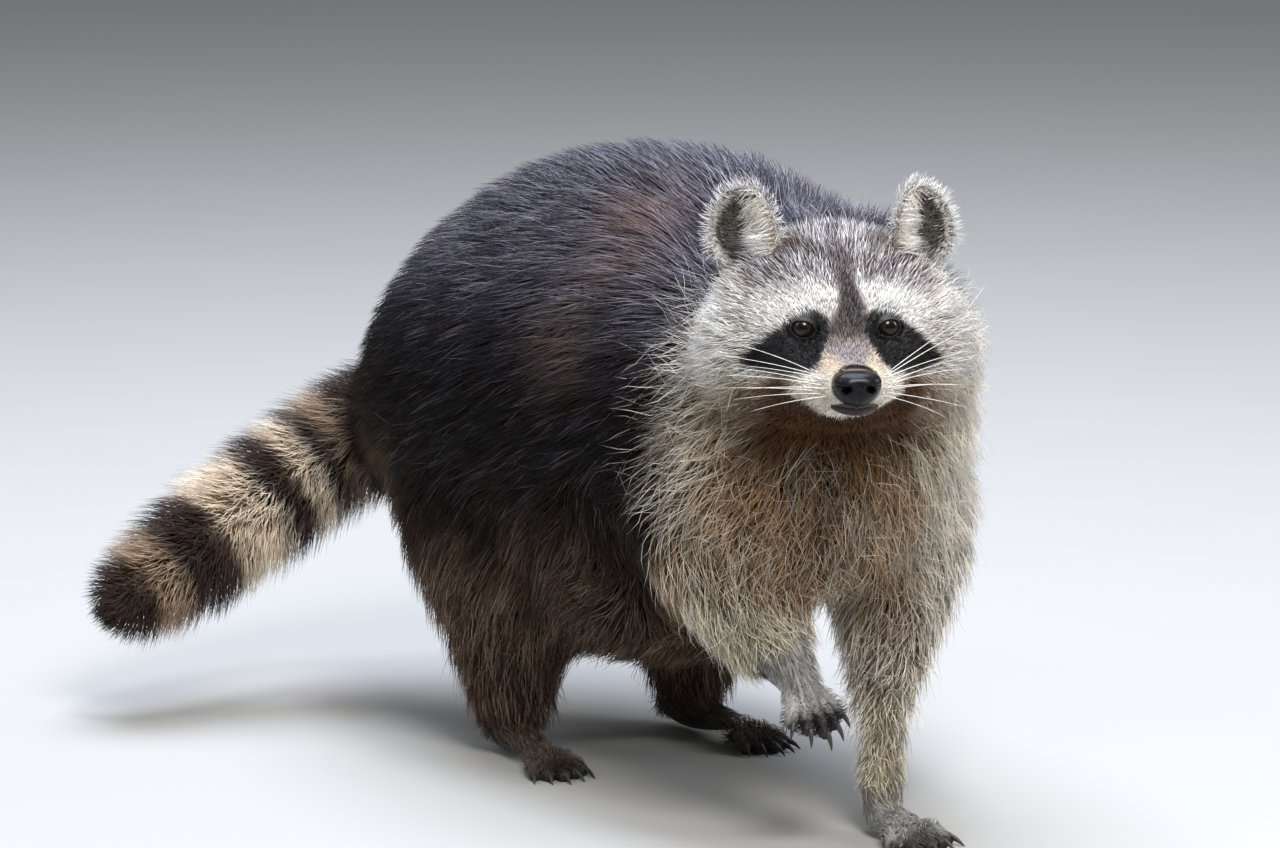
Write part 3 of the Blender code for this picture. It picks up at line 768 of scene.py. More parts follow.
# ---------------------------------------------------------------- markings

WAVES = rng.normal(size=(6, 3))
WAVE_SHIFTS = rng.uniform(0.0, 2 * np.pi, size=6)


def patchiness(points, size):
    """Soft irregular patches between 0 and 1 about `size` centimetres across."""
    waves = np.sin(np.asarray(points) @ WAVES.T * (3.6 / size) + WAVE_SHIFTS)
    return np.clip(0.5 + waves.sum(1) / 5.0, 0.0, 1.0)


def blob(points, centre, radius):
    """One at the centre, fading out over about the radius."""
    return np.exp(-(gap_to(points, centre) / radius) ** 2)


def blobs(points, places):
    """Soft round patches, each with its middle, radius and strength."""
    return sum(strength * blob(points, centre, radius) for centre, radius, strength in places)


def tint(count, colours):
    """Root, middle and tip colour repeated for each point."""
    return np.broadcast_to(np.array(colours, float), (count, 3, 3)).copy()


def layered(colours, *layers):
    """Lay colours over the first ones in turn, each with the share that it covers."""
    for other, share in layers:
        share = np.clip(share, 0.0, 1.0)[:, None, None]
        colours = colours * (1.0 - share) + np.asarray(other) * share
    return colours


# Each colour of hair is given at its root, middle and tip.
FLANK = ((0.018, 0.010, 0.007), (0.008, 0.006, 0.0055), (0.009, 0.007, 0.0075))
# Blue-grey tips of the back colour and of its frosted hairs are partly grizzled hair and partly painted
# sheen of the sky on the up-facing back.
BACK = ((0.035, 0.028, 0.028), (0.040, 0.036, 0.045), (0.060, 0.056, 0.075))
BACK_FROST_AND_SHEEN = ((0.06, 0.052, 0.055), (0.15, 0.14, 0.165), (0.35, 0.33, 0.39))
FLANK_FROST = ((0.03, 0.022, 0.018), (0.06, 0.052, 0.054), (0.17, 0.16, 0.185))
THIGH_FROST = ((0.11, 0.065, 0.038), (0.21, 0.145, 0.10), (0.38, 0.29, 0.22))
CHEST_FROST = ((0.31, 0.23, 0.15), (0.74, 0.66, 0.53), (0.94, 0.90, 0.82))
CROWN_FROST = ((0.24, 0.215, 0.20), (0.52, 0.485, 0.485), (0.74, 0.71, 0.725))
RUST = ((0.13, 0.062, 0.042), (0.22, 0.13, 0.105), (0.31, 0.22, 0.21))
THIGH = ((0.08, 0.038, 0.020), (0.065, 0.034, 0.019), (0.13, 0.080, 0.052))
CHEST = ((0.12, 0.052, 0.018), (0.24, 0.132, 0.060), (0.50, 0.39, 0.255))
OCHRE = ((0.16, 0.068, 0.020), (0.29, 0.145, 0.055), (0.38, 0.22, 0.10))
PALE_SIDE = ((0.24, 0.175, 0.12), (0.62, 0.57, 0.52), (0.90, 0.88, 0.86))
# Dark rust brown; under the jaw and chin it is partly the fur's own colour and partly painted shade.
THROAT = ((0.045, 0.016, 0.005), (0.075, 0.030, 0.009), (0.155, 0.075, 0.031))
SOCK = ((0.42, 0.35, 0.22), (0.70, 0.63, 0.44), (0.84, 0.79, 0.62))
PAW_TOP = ((0.36, 0.34, 0.31), (0.46, 0.45, 0.43), (0.56, 0.55, 0.53))
TAIL_DARK = ((0.08, 0.042, 0.026), (0.055, 0.033, 0.025), (0.07, 0.052, 0.052))
TAIL_TAN = ((0.22, 0.13, 0.075), (0.42, 0.29, 0.19), (0.56, 0.43, 0.32))
TAIL_CREAM = ((0.36, 0.24, 0.14), (0.82, 0.67, 0.50), (0.94, 0.84, 0.70))
RUMP = ((0.12, 0.058, 0.025), (0.17, 0.092, 0.043), (0.23, 0.14, 0.076))
WHITE = ((0.50, 0.45, 0.40), (0.74, 0.715, 0.685), (0.86, 0.845, 0.825))
CHEEK = ((0.36, 0.28, 0.19), (0.56, 0.48, 0.37), (0.76, 0.71, 0.64))
CREAM = ((0.62, 0.54, 0.44), (0.82, 0.77, 0.68), (0.92, 0.89, 0.84))
BUFF = ((0.50, 0.38, 0.26), (0.66, 0.54, 0.41), (0.74, 0.63, 0.50))
# Brown under the cheeks: partly the fur's own colour and partly painted shade under the jaw.
UNDER_CHEEK_BROWN_AND_SHADE = ((0.16, 0.09, 0.05), (0.22, 0.14, 0.085), (0.36, 0.27, 0.19))
MASK = ((0.010, 0.009, 0.010), (0.010, 0.009, 0.010), (0.013, 0.011, 0.013))
CROWN = ((0.10, 0.08, 0.072), (0.15, 0.125, 0.12), (0.30, 0.275, 0.28))
BRIDGE = ((0.20, 0.165, 0.16), (0.33, 0.285, 0.285), (0.42, 0.375, 0.385))
STRIPE = ((0.024, 0.017, 0.017), (0.030, 0.021, 0.022), (0.042, 0.031, 0.033))
FACE_RUST = ((0.08, 0.036, 0.022), (0.10, 0.050, 0.034), (0.125, 0.072, 0.053))
# The ear's dark hollow is partly dark skin and partly painted shade in the cup, darkest at its bottom.
EAR_INSIDE = ((0.012, 0.008, 0.003), (0.024, 0.017, 0.007), (0.050, 0.037, 0.018))
EAR_LINING = ((0.20, 0.15, 0.10), (0.50, 0.42, 0.33), (0.72, 0.64, 0.54))
EAR_TUFT = ((0.48, 0.39, 0.30), (0.90, 0.85, 0.78), (0.97, 0.95, 0.92))
EAR_BACK = ((0.05, 0.042, 0.038), (0.07, 0.06, 0.058), (0.15, 0.135, 0.135))
BARE = ((0.016, 0.013, 0.013),) * 3
LIP = ((0.045, 0.034, 0.030),) * 3
HIND_TOP = ((0.07, 0.05, 0.038), (0.11, 0.085, 0.066), (0.19, 0.155, 0.125))
SOCKET = (0.012, 0.010, 0.010)

# Edges of the marks, as two rows: places along a mark, and how far it reaches there.
MASK_TOP = ((0.0, 0.9, 1.45, 2.05, 2.65, 3.75, 4.9, 5.3), (0.4, 0.5, 0.9, 0.74, 0.42, -0.22, -1.15, -1.6))
MASK_FOOT = ((0.9, 1.2, 1.6, 2.1, 3.0, 4.0, 5.0, 5.3), (-0.45, -1.05, -1.85, -2.3, -2.4, -2.25, -1.85, -1.6))
MUZZLE_SIDE = ((-4.65, -4.4, -3.86, -3.3, -2.7, -1.85, -1.0, -0.4),
               (0.0, 1.15, 2.0, 3.0, 2.6, 2.1, 1.5, 0.9))
STRIPE_SIDE = ((-2.2, -1.9, -1.0, -0.6, 0.2, 0.5, 0.9, 1.3, 1.8, 2.3, 3.0, 4.0),
               (0.35, 0.5, 0.9, 1.05, 1.05, 0.95, 0.78, 0.66, 0.52, 0.42, 0.5, 0.7))
STRIPE_SHIFT = ((-0.3, 1.0, 3.0), (0.0, 0.35, 0.2))   # the stripe runs a little left of the middle
BRIDGE_SIDE = ((-2.2, -1.7, -1.0, -0.5), (0.45, 0.7, 1.2, 1.3))
BROW_TOP = ((0.0, 1.0, 2.2, 3.6, 5.2, 6.6), (1.9, 2.25, 2.3, 2.05, 1.9, 2.4))
JAW_EDGE = ((0.0, 2.5, 3.4, 5.2, 6.4), (-4.2, -3.3, -2.5, -3.1, -4.4))
CHEST_EDGE = ((0.0, 8.0, 11.5, 15.0, 22.0, 26.0, 29.0), (5.0, 4.6, 3.6, -1.6, -2.4, -4.4, -8.0))

# Patches of colour on the body: middle, radius and strength.
RUST_PLACES = (((-6.0, 6.4, 31.0), 3.2, 1.0), ((-10.4, 7.8, 25.6), 2.4, 0.8), ((5.5, 7.5, 31.0), 3.0, 0.5),
               ((10.0, 9.0, 25.0), 2.5, 0.4))
WARM_PLACES = (((-5.5, -6.7, 16.4), 3.0, 1.0), ((-6.6, -6.3, 18.9), 2.0, 1.0),
               ((-3.1, -5.8, 13.5), 1.8, 1.0), ((0.0, -8.8, 17.2), 2.5, 1.0), ((2.2, -6.6, 14.2), 2.2, 1.0),
               ((1.9, -4.8, 12.0), 1.8, 1.0), ((-1.6, -9.6, 19.4), 2.0, 1.0))
CLEFT_PLACES = (((-3.3, -9.0, 19.5), 1.8, 1.0), ((-2.9, -8.4, 16.4), 1.7, 1.0))


def head_marks(points, grain, luck):
    """Colours of the head; grain softens the edges and luck picks frosted hairs."""
    q = to_head(points)
    across, v = np.abs(q[:, 0]), q[:, 2] + FACE_FALL * q[:, 1] + grain
    feather = 0.3 * (luck - 0.5) * (luck < 1.0) * smoothstep(1.0, 3.0, across)
    across = across + 0.6 * grain
    midline = within(across, 0.5, 0.4) * within(v, 5.0, 1.0)
    frosted = luck < (0.58 - 0.4 * midline) * (0.7 + 0.6 * patchiness(points, 1.4))
    side = smoothstep(4.0, 6.2, across) * within(v, 3.4, 0.8)
    side_top = side * smoothstep(0.6, 2.4, q[:, 1]) * within(-v, 2.6, 0.9)
    behind = smoothstep(4.2, 6.4, q[:, 1]) * smoothstep(-1.0, 1.5, q[:, 2])
    low = within(v, -1.95 - 0.12 * across, 0.35) * smoothstep(2.2, 2.9, across)
    outer_low = within(v, -2.9, 0.9) * smoothstep(4.2, 5.6, across)
    # Under the jaw edge the brown and dark throat colours are partly the fur's own and partly painted shade.
    below = within(v, np.interp(across, *JAW_EDGE), 0.4)
    muzzle = within(across, np.interp(v, *MUZZLE_SIDE), 0.16) * within(-v, 4.75, 0.1) * within(v, -0.5, 0.25)
    muzzle *= smoothstep(1.2, 0.2, q[:, 1])
    buff = muzzle * within(-v, 2.2, 0.5) * within(across, 2.2, 0.6)
    bridge = within(across, np.interp(v, *BRIDGE_SIDE), 0.45) * within(v, -0.6, 0.4) * within(-v, 3.0, 0.3)
    off_middle = np.abs(q[:, 0] - np.interp(v, *STRIPE_SHIFT)) + 0.6 * grain
    reach = np.interp(v, *STRIPE_SIDE)
    stripe = within(off_middle, reach, 0.16) * within(-v, 0.7, 0.45) * within(v, 2.6, 0.8)
    core = within(off_middle, 0.7 * reach + 0.04, 0.22) * within(-v, 0.5, 0.6) * within(v, 2.9, 1.3)
    mask = within(v, np.interp(across, *MASK_TOP), 0.15)
    mask *= within(-v - feather, -np.interp(across, *MASK_FOOT), 0.2)
    mask *= within(-across, -0.86, 0.18) * within(across, 5.3, 0.3) * smoothstep(4.5, 3.5, q[:, 1])
    mouth = np.hypot(q[:, 0] / LIP_REACH, (q[:, 2] - LIP_HEIGHT - 0.1) / 0.36)
    return layered(
        tint(len(points), CROWN), (STRIPE, 0.9 * (luck > 0.84) * (luck < 1.0)), (CROWN_FROST, frosted),
        (WHITE, within(v, np.interp(across, *BROW_TOP), 0.55)), (CHEEK, 0.75 * side),
        (WHITE, 0.8 * side_top), (BACK, 0.65 * behind * (luck > 0.4)), (CHEEK, 0.85 * low),
        (CHEST, 0.6 * outer_low * (luck > 0.3)),
        (UNDER_CHEEK_BROWN_AND_SHADE, below * smoothstep(6.4, 4.9, across) * (luck > 0.25)),
        (THROAT, below * smoothstep(4.7, 3.5, across)), (CREAM, muzzle), (BUFF, 0.85 * buff),
        (BRIDGE, bridge), (FACE_RUST, 0.85 * stripe), (STRIPE, 0.9 * core), (MASK, mask),
        (LIP, smoothstep(1.05, 0.92, mouth) * (q[:, 1] < -3.0)),
        (FACE_RUST, blob(q, (2.6, 3.9, 4.0), 0.9)), (FACE_RUST, blob(q, (-2.6, 3.9, 4.0), 0.9)))


def warm_patches(points):
    """Where the chest's ochre undercoat shows."""
    return np.clip(blobs(points, WARM_PLACES) * (0.6 + 0.7 * patchiness(points, 2.0)), 0.0, 1.0)


def chest_marks(points, y, luck):
    """Colours of the chest, throat and forelegs; y is each point's place ahead or behind, softened."""
    x, z = points[:, 0], points[:, 2]
    left = smoothstep(2.6, 5.6, x) * smoothstep(0.5, -2.5, y)
    shin = smoothstep(14.0, 9.0, z) * smoothstep(-0.5, 1.0, x)
    warm = warm_patches(points)
    cleft = blobs(points, CLEFT_PLACES)
    # Dark throat under the chin: partly the fur's own colour and partly painted shade.
    throat = blob(points, THROAT_MIDDLE, 3.6) * smoothstep(19.5, 22.0, z)
    sock = smoothstep(13.4, 11.4, z) * smoothstep(-1.5, -4.0, x) * smoothstep(-0.5, -2.5, y)
    low_left = smoothstep(9.0, 4.0, z) * smoothstep(-1.0, 0.5, x)
    return layered(
        tint(len(points), CHEST), (PALE_SIDE, np.maximum(0.85 * left, 0.55 * shin)),
        (CHEST_FROST, (luck < 0.30 + 0.25 * left) * (1.0 - 0.75 * warm)), (OCHRE, warm * (luck > 0.1)),
        (THROAT, 0.85 * cleft * (luck > 0.15)), (THROAT, 1.4 * throat), (SOCK, sock), (SOCK, 0.6 * low_left))


def body_marks(points, normals, grain, luck):
    """Colours of trunk, neck and legs, with painted sheen on the upper back."""
    y, z = points[:, 1] + 2.0 * grain, points[:, 2]
    # top: the upper back and up-facing hair, whose blue-grey colours carry painted sky sheen as well as
    # grizzled hair
    top = smoothstep(22.0, 30.5, z + 3.0 * normals[:, 2])
    brown = smoothstep(19.0, 12.0, z) * patchiness(points, 3.0)
    rust = blobs(points, RUST_PLACES) * (0.3 + 0.7 * patchiness(points, 2.2)) * (luck > 0.3 * top)
    low = smoothstep(14.5, 7.5, z + 4.0 * (patchiness(points, 4.0) - 0.5)) * smoothstep(2.0, 8.0, y)
    rump = blob(points, (-4.5, 32.4, 13.3), 3.2) + blob(np.abs(points), (10.2, 28.2, 12.6), 3.4)
    rump *= 0.6 + 0.7 * patchiness(points, 2.0)
    return layered(
        tint(len(points), FLANK), (THIGH, 0.35 * brown), (FLANK_FROST, (luck < 0.2) * (1.0 - 0.5 * brown)),
        # back colour and frosted hairs on the top: grizzled hair with painted sheen
        (BACK, top), (BACK_FROST_AND_SHEEN, (luck < 0.5 * top) * (0.4 + 0.6 * top)), (RUST, rust),
        (THIGH, low * (0.55 + 0.6 * patchiness(points, 2.6))), (THIGH_FROST, low * (luck < 0.42)),
        (RUMP, rump * (luck < 0.8)),
        (chest_marks(points, y, luck), within(y, np.interp(z, *CHEST_EDGE), 1.1)))


def tail_marks(points, grain):
    """Dark rings on cream, tan next to the tip and the root."""
    place = tail_place(points)[0] + 1.5 * grain
    dark = within(-place, -TAIL_RINGS[-1], 0.3)
    edges = (-50.0,) + TAIL_RINGS
    for low, high in zip(edges[::2], edges[1::2]):
        dark = np.maximum(dark, within(place, high, 0.25) * within(-place, -low, 0.25))
    tan = np.maximum(within(place, TAIL_RINGS[1] + 0.8, 0.3), within(-place, -TAIL_RINGS[6], 0.3))
    below = smoothstep(15.5, 13.0, points[:, 2]) * smoothstep(18.5, 20.0, place)
    return layered(tint(len(points), TAIL_CREAM), (TAIL_TAN, tan), (TAIL_DARK, dark), (RUMP, below))


def ear_marks(points, normals, side, grain):
    """Black hollow, partly dark skin and partly painted shade and darkest at its bottom, pale lining in
    front, rust and grey behind, and a white rim.
    """
    across, up = ear_place(points, side)
    edge = np.hypot(across, up) + grain
    front = ear_front(normals, side)
    medial = smoothstep(-0.35, -0.7, across) * smoothstep(-0.8, -0.4, up)
    # the hollow is dark and darker towards its bottom: dark skin with painted shade
    inside = layered(tint(len(points), EAR_INSIDE), (BARE, smoothstep(0.1, -0.7, up)),
                     (EAR_LINING, 0.9 * medial))
    behind = (1.0 - front) * smoothstep(0.0, -0.5, across) * smoothstep(0.95, 0.7, edge)
    return layered(tint(len(points), EAR_BACK), (inside, front), (WHITE, smoothstep(0.80, 0.9, edge)),
                   (FACE_RUST, behind))


def paw_marks(points, normals):
    """Grey-white tops, browner behind, and black toes' ends and soles."""
    ankle = smoothstep(1.3, 2.3, points[:, 2]) * smoothstep(16.0, 18.5, points[:, 1])
    place, facing, _, span = paw_space(points, normals)
    start, length = span.T
    dark = smoothstep(-start - 0.30 * length, -start - 0.62 * length, place[:, 1])
    dark = np.maximum(dark, smoothstep(0.45, 0.2, place[:, 2]) * smoothstep(0.0, -0.5, facing[:, 2]))
    return layered(tint(len(points), PAW_TOP), (HIND_TOP, smoothstep(5.0, 10.0, points[:, 1])),
                   (THIGH, ankle), (BARE, dark))


def markings(points, normals, shares, grain, luck):
    """Root, middle and tip colour of the coat for places anywhere on the body."""
    trunk = shares["trunk"] + shares["neck"] + shares["leg"]
    parts = [(trunk, body_marks(points, normals, grain, luck)),
             (shares["head"], head_marks(points, grain, luck)),
             (shares["tail"], tail_marks(points, grain)), (shares["paw"], paw_marks(points, normals))]
    parts += [(shares[name], ear_marks(points, normals, side, grain)) for side, name in EARS]
    return sum(share[:, None, None] * colours for share, colours in parts)


# ---------------------------------------------------------------- tufts

TAPER = {2: (0.85, 0.9), 3: (0.75, 1.0, 0.7), 5: (0.8, 1.0, 0.9, 0.75, 0.5)}   # by segments of a tuft
CORNERS = np.array(((0.0, -1.0), (-0.866, 0.5), (0.866, 0.5)))   # across and inwards
FLATNESS = 0.7
COLOUR_ROWS = (0.3, 0.62, 0.92)       # where a ringed tuft's root, middle and tip colour are taken


def unwrap(item):
    """Lay the skin out flat into a map of its own."""
    bpy.ops.object.select_all(action="DESELECT")
    bpy.context.view_layer.objects.active = item
    item.select_set(True)
    bpy.ops.object.mode_set(mode="EDIT")
    bpy.ops.mesh.select_all(action="SELECT")
    bpy.ops.uv.smart_project(angle_limit=math.radians(66.0), island_margin=0.002)
    bpy.ops.object.mode_set(mode="OBJECT")
    item.data.uv_layers[0].name = "OFBake"


def triangles_of(mesh):
    """Corner points, corner places on the unwrap and areas of all triangles."""
    mesh.calc_loop_triangles()
    triangles = mesh.loop_triangles
    loops = read(triangles, "loops", 3, np.int32)
    flat = read(mesh.uv_layers["OFBake"].uv, "vector", 2)
    return read(triangles, "vertices", 3, np.int32), flat[loops], read(triangles, "area", 1)[:, 0]


def scatter(fields, density):
    """Random roots, as many per square centimetre as the density says."""
    corners, _, areas = fields["triangles"]
    share = areas * density[corners].mean(1)
    total = int(share.sum() * SHARE)
    steps = (np.arange(total) + rng.random(total)) / total * share.sum()
    chosen = np.minimum(np.searchsorted(np.cumsum(share), steps), len(corners) - 1)
    a, b = np.sqrt(rng.random(total)), rng.random(total)
    weights = np.stack((1.0 - a, a * (1.0 - b), a * b), axis=1)
    return chosen, weights


def clump(roots, tips, spacing, pull, seeds_share):
    """Draw the tips of neighbouring tufts together into locks."""
    count = len(roots)
    seeds = rng.choice(count, max(1, int(count * seeds_share)), replace=False)
    tree = point_tree(roots[seeds])
    found = [tree.find(root)[1:] for root in roots]
    nearest = seeds[np.array([index for index, _ in found])]
    gap = np.array([distance for _, distance in found])
    share = pull * rng.uniform(0.55, 1.0, count) * smoothstep(3.0 * spacing, 0.8 * spacing, gap)
    offset = tips[nearest] - roots[nearest]
    target = 0.35 * (roots + offset) + 0.65 * (roots[nearest] + offset)
    return mix(tips, target, share)


def patch_values(points, size):
    """Four random values shared by all points of an irregular patch."""
    low = points.min(0) - size
    cells = np.floor((points - low) / size + 0.35 * np.sin(points[:, [1, 2, 0]] * (2.1 / size))).astype(int)
    keys = cells @ np.array((73856093, 19349663, 83492791))
    table = rng.random((4096, 4))
    return table[np.abs(keys) % 4096]


def grow(fields, density, segments, width, pull, reach=1.0, rise=1.0, wander=0.11, lock_size=0.5,
         stray=0.0, tips_out=0.0, waves=0.0):
    """Grow tufts from the skin; returns their centre lines, widths, colours and places."""
    chosen, weights = scatter(fields, density)
    corners, map_places, _ = fields["triangles"]

    def at_roots(values):
        return np.einsum("nk,nk...->n...", weights, values[corners[chosen]])

    root = at_roots(fields["points"])
    normal = unit(at_roots(fields["normals"]))
    flow = tangent_part(at_roots(fields["flow"]), normal)
    depth, loose = at_roots(fields["depth"]), at_roots(fields["loose"])
    shares = {name: at_roots(share) for name, share in fields["shares"].items()}
    count = len(root)
    lock = patch_values(root, lock_size)
    yaw = (0.34 * (lock[:, 0] - 0.5) + rng.normal(0.0, wander, count)) * (1.0 + 1.6 * loose)
    yaw += stray * rng.normal(0.0, 0.5, count) * (rng.random(count) < 0.12)
    flow = flow * np.cos(yaw)[:, None] + np.cross(normal, flow) * np.sin(yaw)[:, None]
    aside = np.cross(normal, flow)[:, None]
    long = at_roots(fields["length"]) * reach * (0.82 + 0.3 * lock[:, 1]) * rng.uniform(0.8, 1.15, count)
    high = depth * rise * (0.9 + 0.2 * lock[:, 2]) * rng.uniform(0.86, 1.0, count)
    high += at_roots(fields["lift"]) * rng.random(count)
    tip = root + flow * long[:, None] + normal * high[:, None]
    deep = smoothstep(0.5, 1.0, depth)
    out = 0.7 * loose * rng.random(count) ** 2 + at_roots(fields["fluff"])
    apart = 2.0 * rng.random(count) ** 2 if waves else np.ones(count)
    under = (depth - high) - tips_out * apart - out
    for i in np.nonzero(deep > 0.0)[0]:
        found, outward = fields["outside"].find_nearest(tip[i])[:2]
        tip[i] += (np.array(found) - np.array(outward) * under[i] - tip[i]) * deep[i]
    tip = clump(root, tip, lock_size, pull * (1.0 - 0.6 * shares["tail"]), 0.09)
    bend = root + normal * (high * 0.55)[:, None] + (tip - root) * 0.22
    t = np.linspace(0.0, 1.0, segments + 1)[None, :, None]
    line = (root[:, None] * (1 - t) ** 2 + bend[:, None] * (2 * t * (1 - t)) + tip[:, None] * t ** 2)
    curl = rng.normal(0.0, 0.05, count) * (1.0 + 2.2 * loose)
    sway = aside * (curl * long)[:, None, None]
    line = line + sway * np.sin(np.pi * t) + 0.25 * sway * np.sin(2.0 * np.pi * t)
    if waves:
        phase = rng.uniform(0.0, 2 * np.pi, (count, 2))[:, None, :]
        swing = np.sin(2 * np.pi * rng.uniform(0.8, 1.5, count)[:, None, None] * t + phase) * t * waves
        swing = swing * long[:, None, None]
        line = line + aside * swing[..., :1] + normal[:, None] * (0.5 * swing[..., 1:])
    line[:, 0] -= normal * 0.03
    seen = root + (tip - root) * 0.6
    grain = rng.normal(0.0, 1.0, count) * (0.16 - 0.105 * shares["head"])
    luck = 0.6 * rng.random(count) + 0.4 * lock[:, 2]
    colours = markings(seen, normal, shares, grain, luck)
    ringed = shares["tail"] > 0.5
    for k, along in enumerate(COLOUR_ROWS):
        spot = root[ringed] + (tip - root)[ringed] * along
        colours[ringed, k] = tail_marks(spot, 0.6 * grain[ringed])[:, k]
    chest = smoothstep(2.0, -2.0, seen[:, 1]) * (1.0 - shares["head"])
    tone = 1.0 + (0.22 + 0.16 * chest) * rng.normal(0.0, 1.0, count)
    tone += (0.35 + 0.3 * chest) * (lock[:, 3] - 0.5)
    colours *= np.clip(tone, 0.45, 1.7)[:, None, None]
    widths = at_roots(width) * rng.uniform(0.75, 1.2, count)
    return {"line": line, "normal": normal, "width": widths, "colour": colours, "shares": shares,
            "seen": seen, "place": (map_places[chosen] * weights[:, :, None]).sum(1)}


def tuft_mesh(name, tufts, keep):
    """One mesh of closed, three-sided tapering tufts."""
    line, normal, width, colour, place = (tufts[key][keep] for key in
                                          ("line", "normal", "width", "colour", "place"))
    count, rows = line.shape[0], line.shape[1] - 1
    way = unit(np.gradient(line, axis=1))
    side = unit(np.cross(way, normal[:, None]))
    up = np.cross(way, side)
    half = 0.5 * width[:, None] * np.array(TAPER[rows])[None]
    rings = line[:, :rows, None] + half[:, :, None, None] * (
        CORNERS[:, 0][None, None, :, None] * side[:, :rows, None]
        + FLATNESS * CORNERS[:, 1][None, None, :, None] * up[:, :rows, None])
    points = np.concatenate((rings.reshape(count, -1, 3), line[:, -1:]), axis=1)
    each = points.shape[1]
    faces = [(3 * k + (j + 1) % 3, 3 * k + j, 3 * (k + 1) + j, 3 * (k + 1) + (j + 1) % 3)
             for k in range(rows - 1) for j in range(3)]
    faces += [(3 * (rows - 1) + (j + 1) % 3, 3 * (rows - 1) + j, 3 * rows) for j in range(3)]
    faces.append((0, 1, 2))
    pattern = np.array([corner for face in faces for corner in face])
    sizes = np.tile([len(face) for face in faces], count)
    loops = (pattern[None] + np.arange(count)[:, None] * each).ravel()
    mesh = bpy.data.meshes.new(name)
    mesh.vertices.add(count * each)
    mesh.vertices.foreach_set("co", points.astype(np.float32).ravel())
    mesh.loops.add(len(loops))
    mesh.loops.foreach_set("vertex_index", loops.astype(np.int32))
    mesh.polygons.add(len(sizes))
    mesh.polygons.foreach_set("loop_start", (np.cumsum(sizes) - sizes).astype(np.int32))
    mesh.polygons.foreach_set("use_smooth", np.ones(len(sizes), bool))
    along = np.concatenate((np.repeat(np.arange(rows), 3) / rows, (1.0,)))
    first = np.clip((2.0 * along).astype(int), 0, 1)
    share = (2.0 * along - first)[None, :, None]
    write_paint(mesh, (colour[:, first] * (1.0 - share) + colour[:, first + 1] * share).reshape(-1, 3))
    spots = np.stack((np.concatenate((np.tile((0.0, 0.5, 1.0), rows), (0.5,))), along), axis=1) * PATCH
    uv = mesh.uv_layers.new(name="OFBake")
    uv.uv.foreach_set("vector", (place[:, None] + spots[None])[:, pattern].astype(np.float32).ravel())
    mesh.update(calc_edges=True)
    return mesh


REGIONS = {                           # slot and shares of each region of the coat
    "trunk": ("coat_dark", ("trunk",)),
    "neck": ("coat_tan", ("neck",)),
    "legs": ("coat_tan", ("leg", "paw")),
    "tail": ("coat_tail", ("tail",)),
    "head": ("coat_face", ("head", "ear_left", "ear_right")),
}


def coat_pieces(layer, tufts):
    """Sort tufts into body regions and pieces small enough each."""
    scores = [sum(tufts["shares"][part] for part in parts) for _, parts in REGIONS.values()]
    region = np.stack(scores, axis=1).argmax(1)
    faces = 6 * (tufts["line"].shape[1] - 1) - 2
    for number, (name, (slot_name, _)) in enumerate(REGIONS.items()):
        chosen = np.nonzero(region == number)[0]
        chosen = chosen[np.argsort(tufts["seen"][chosen, 1])]
        parts = max(1, math.ceil(len(chosen) * faces / PIECE_LIMIT))
        for k, keep in enumerate(np.array_split(chosen, parts)):
            if len(keep):
                label = f"coat_{name}_{layer}_{k + 1}"
                piece = link(label, tuft_mesh(label, tufts, keep))
                piece.data.materials.append(coat_material(slot_name))
                finish_piece(piece, slot_name)


# ---------------------------------------------------------------- materials

def new_material(name):
    """A material, its node tree and its shader."""
    material = bpy.data.materials.new(name)
    material.use_nodes = True
    tree = material.node_tree
    return material, tree, tree.nodes["Principled BSDF"]


def new_group(name, inputs, outputs):
    """An empty node group with named sockets, and its nodes for what goes in and out."""
    group = bpy.data.node_groups.new(name, "ShaderNodeTree")
    for label, kind, value in inputs:
        socket = group.interface.new_socket(label, in_out="INPUT", socket_type=kind)
        socket.default_value = value
    for label, kind in outputs:
        group.interface.new_socket(label, in_out="OUTPUT", socket_type=kind)
    return group, group.nodes.new("NodeGroupInput"), group.nodes.new("NodeGroupOutput")


def set_inputs(node, values):
    """Set the values of a node's sockets and hand the node on."""
    for label, value in values.items():
        node.inputs[label].default_value = value
    return node


def object_place(tree):
    return tree.nodes.new("ShaderNodeTexCoord").outputs["Object"]


def noise(tree, scale, detail, place):
    node = set_inputs(tree.nodes.new("ShaderNodeTexNoise"), {"Scale": scale, "Detail": detail})
    tree.links.new(place, node.inputs["Vector"])
    return node.outputs["Fac"]


def ranged(tree, value, low, high, from_low=0.3, from_high=0.7):
    """A value carried over from one range to another."""
    limits = {"From Min": from_low, "From Max": from_high, "To Min": low, "To Max": high}
    node = set_inputs(tree.nodes.new("ShaderNodeMapRange"), limits)
    tree.links.new(value, node.inputs["Value"])
    return node.outputs["Result"]


def maths(tree, operation, *terms):
    """The result of an operation on sockets and plain numbers."""
    node = tree.nodes.new("ShaderNodeMath")
    node.operation = operation
    for socket, term in zip(node.inputs, terms):
        if isinstance(term, float):
            socket.default_value = term
        else:
            tree.links.new(term, socket)
    return node.outputs[0]


def blended(tree, first, second, share):
    """A colour between two others."""
    node = tree.nodes.new("ShaderNodeMix")
    node.data_type = "RGBA"
    set_inputs(node, {"A": (*first, 1.0), "B": (*second, 1.0)})
    tree.links.new(share, node.inputs["Factor"])
    return node.outputs["Result"]


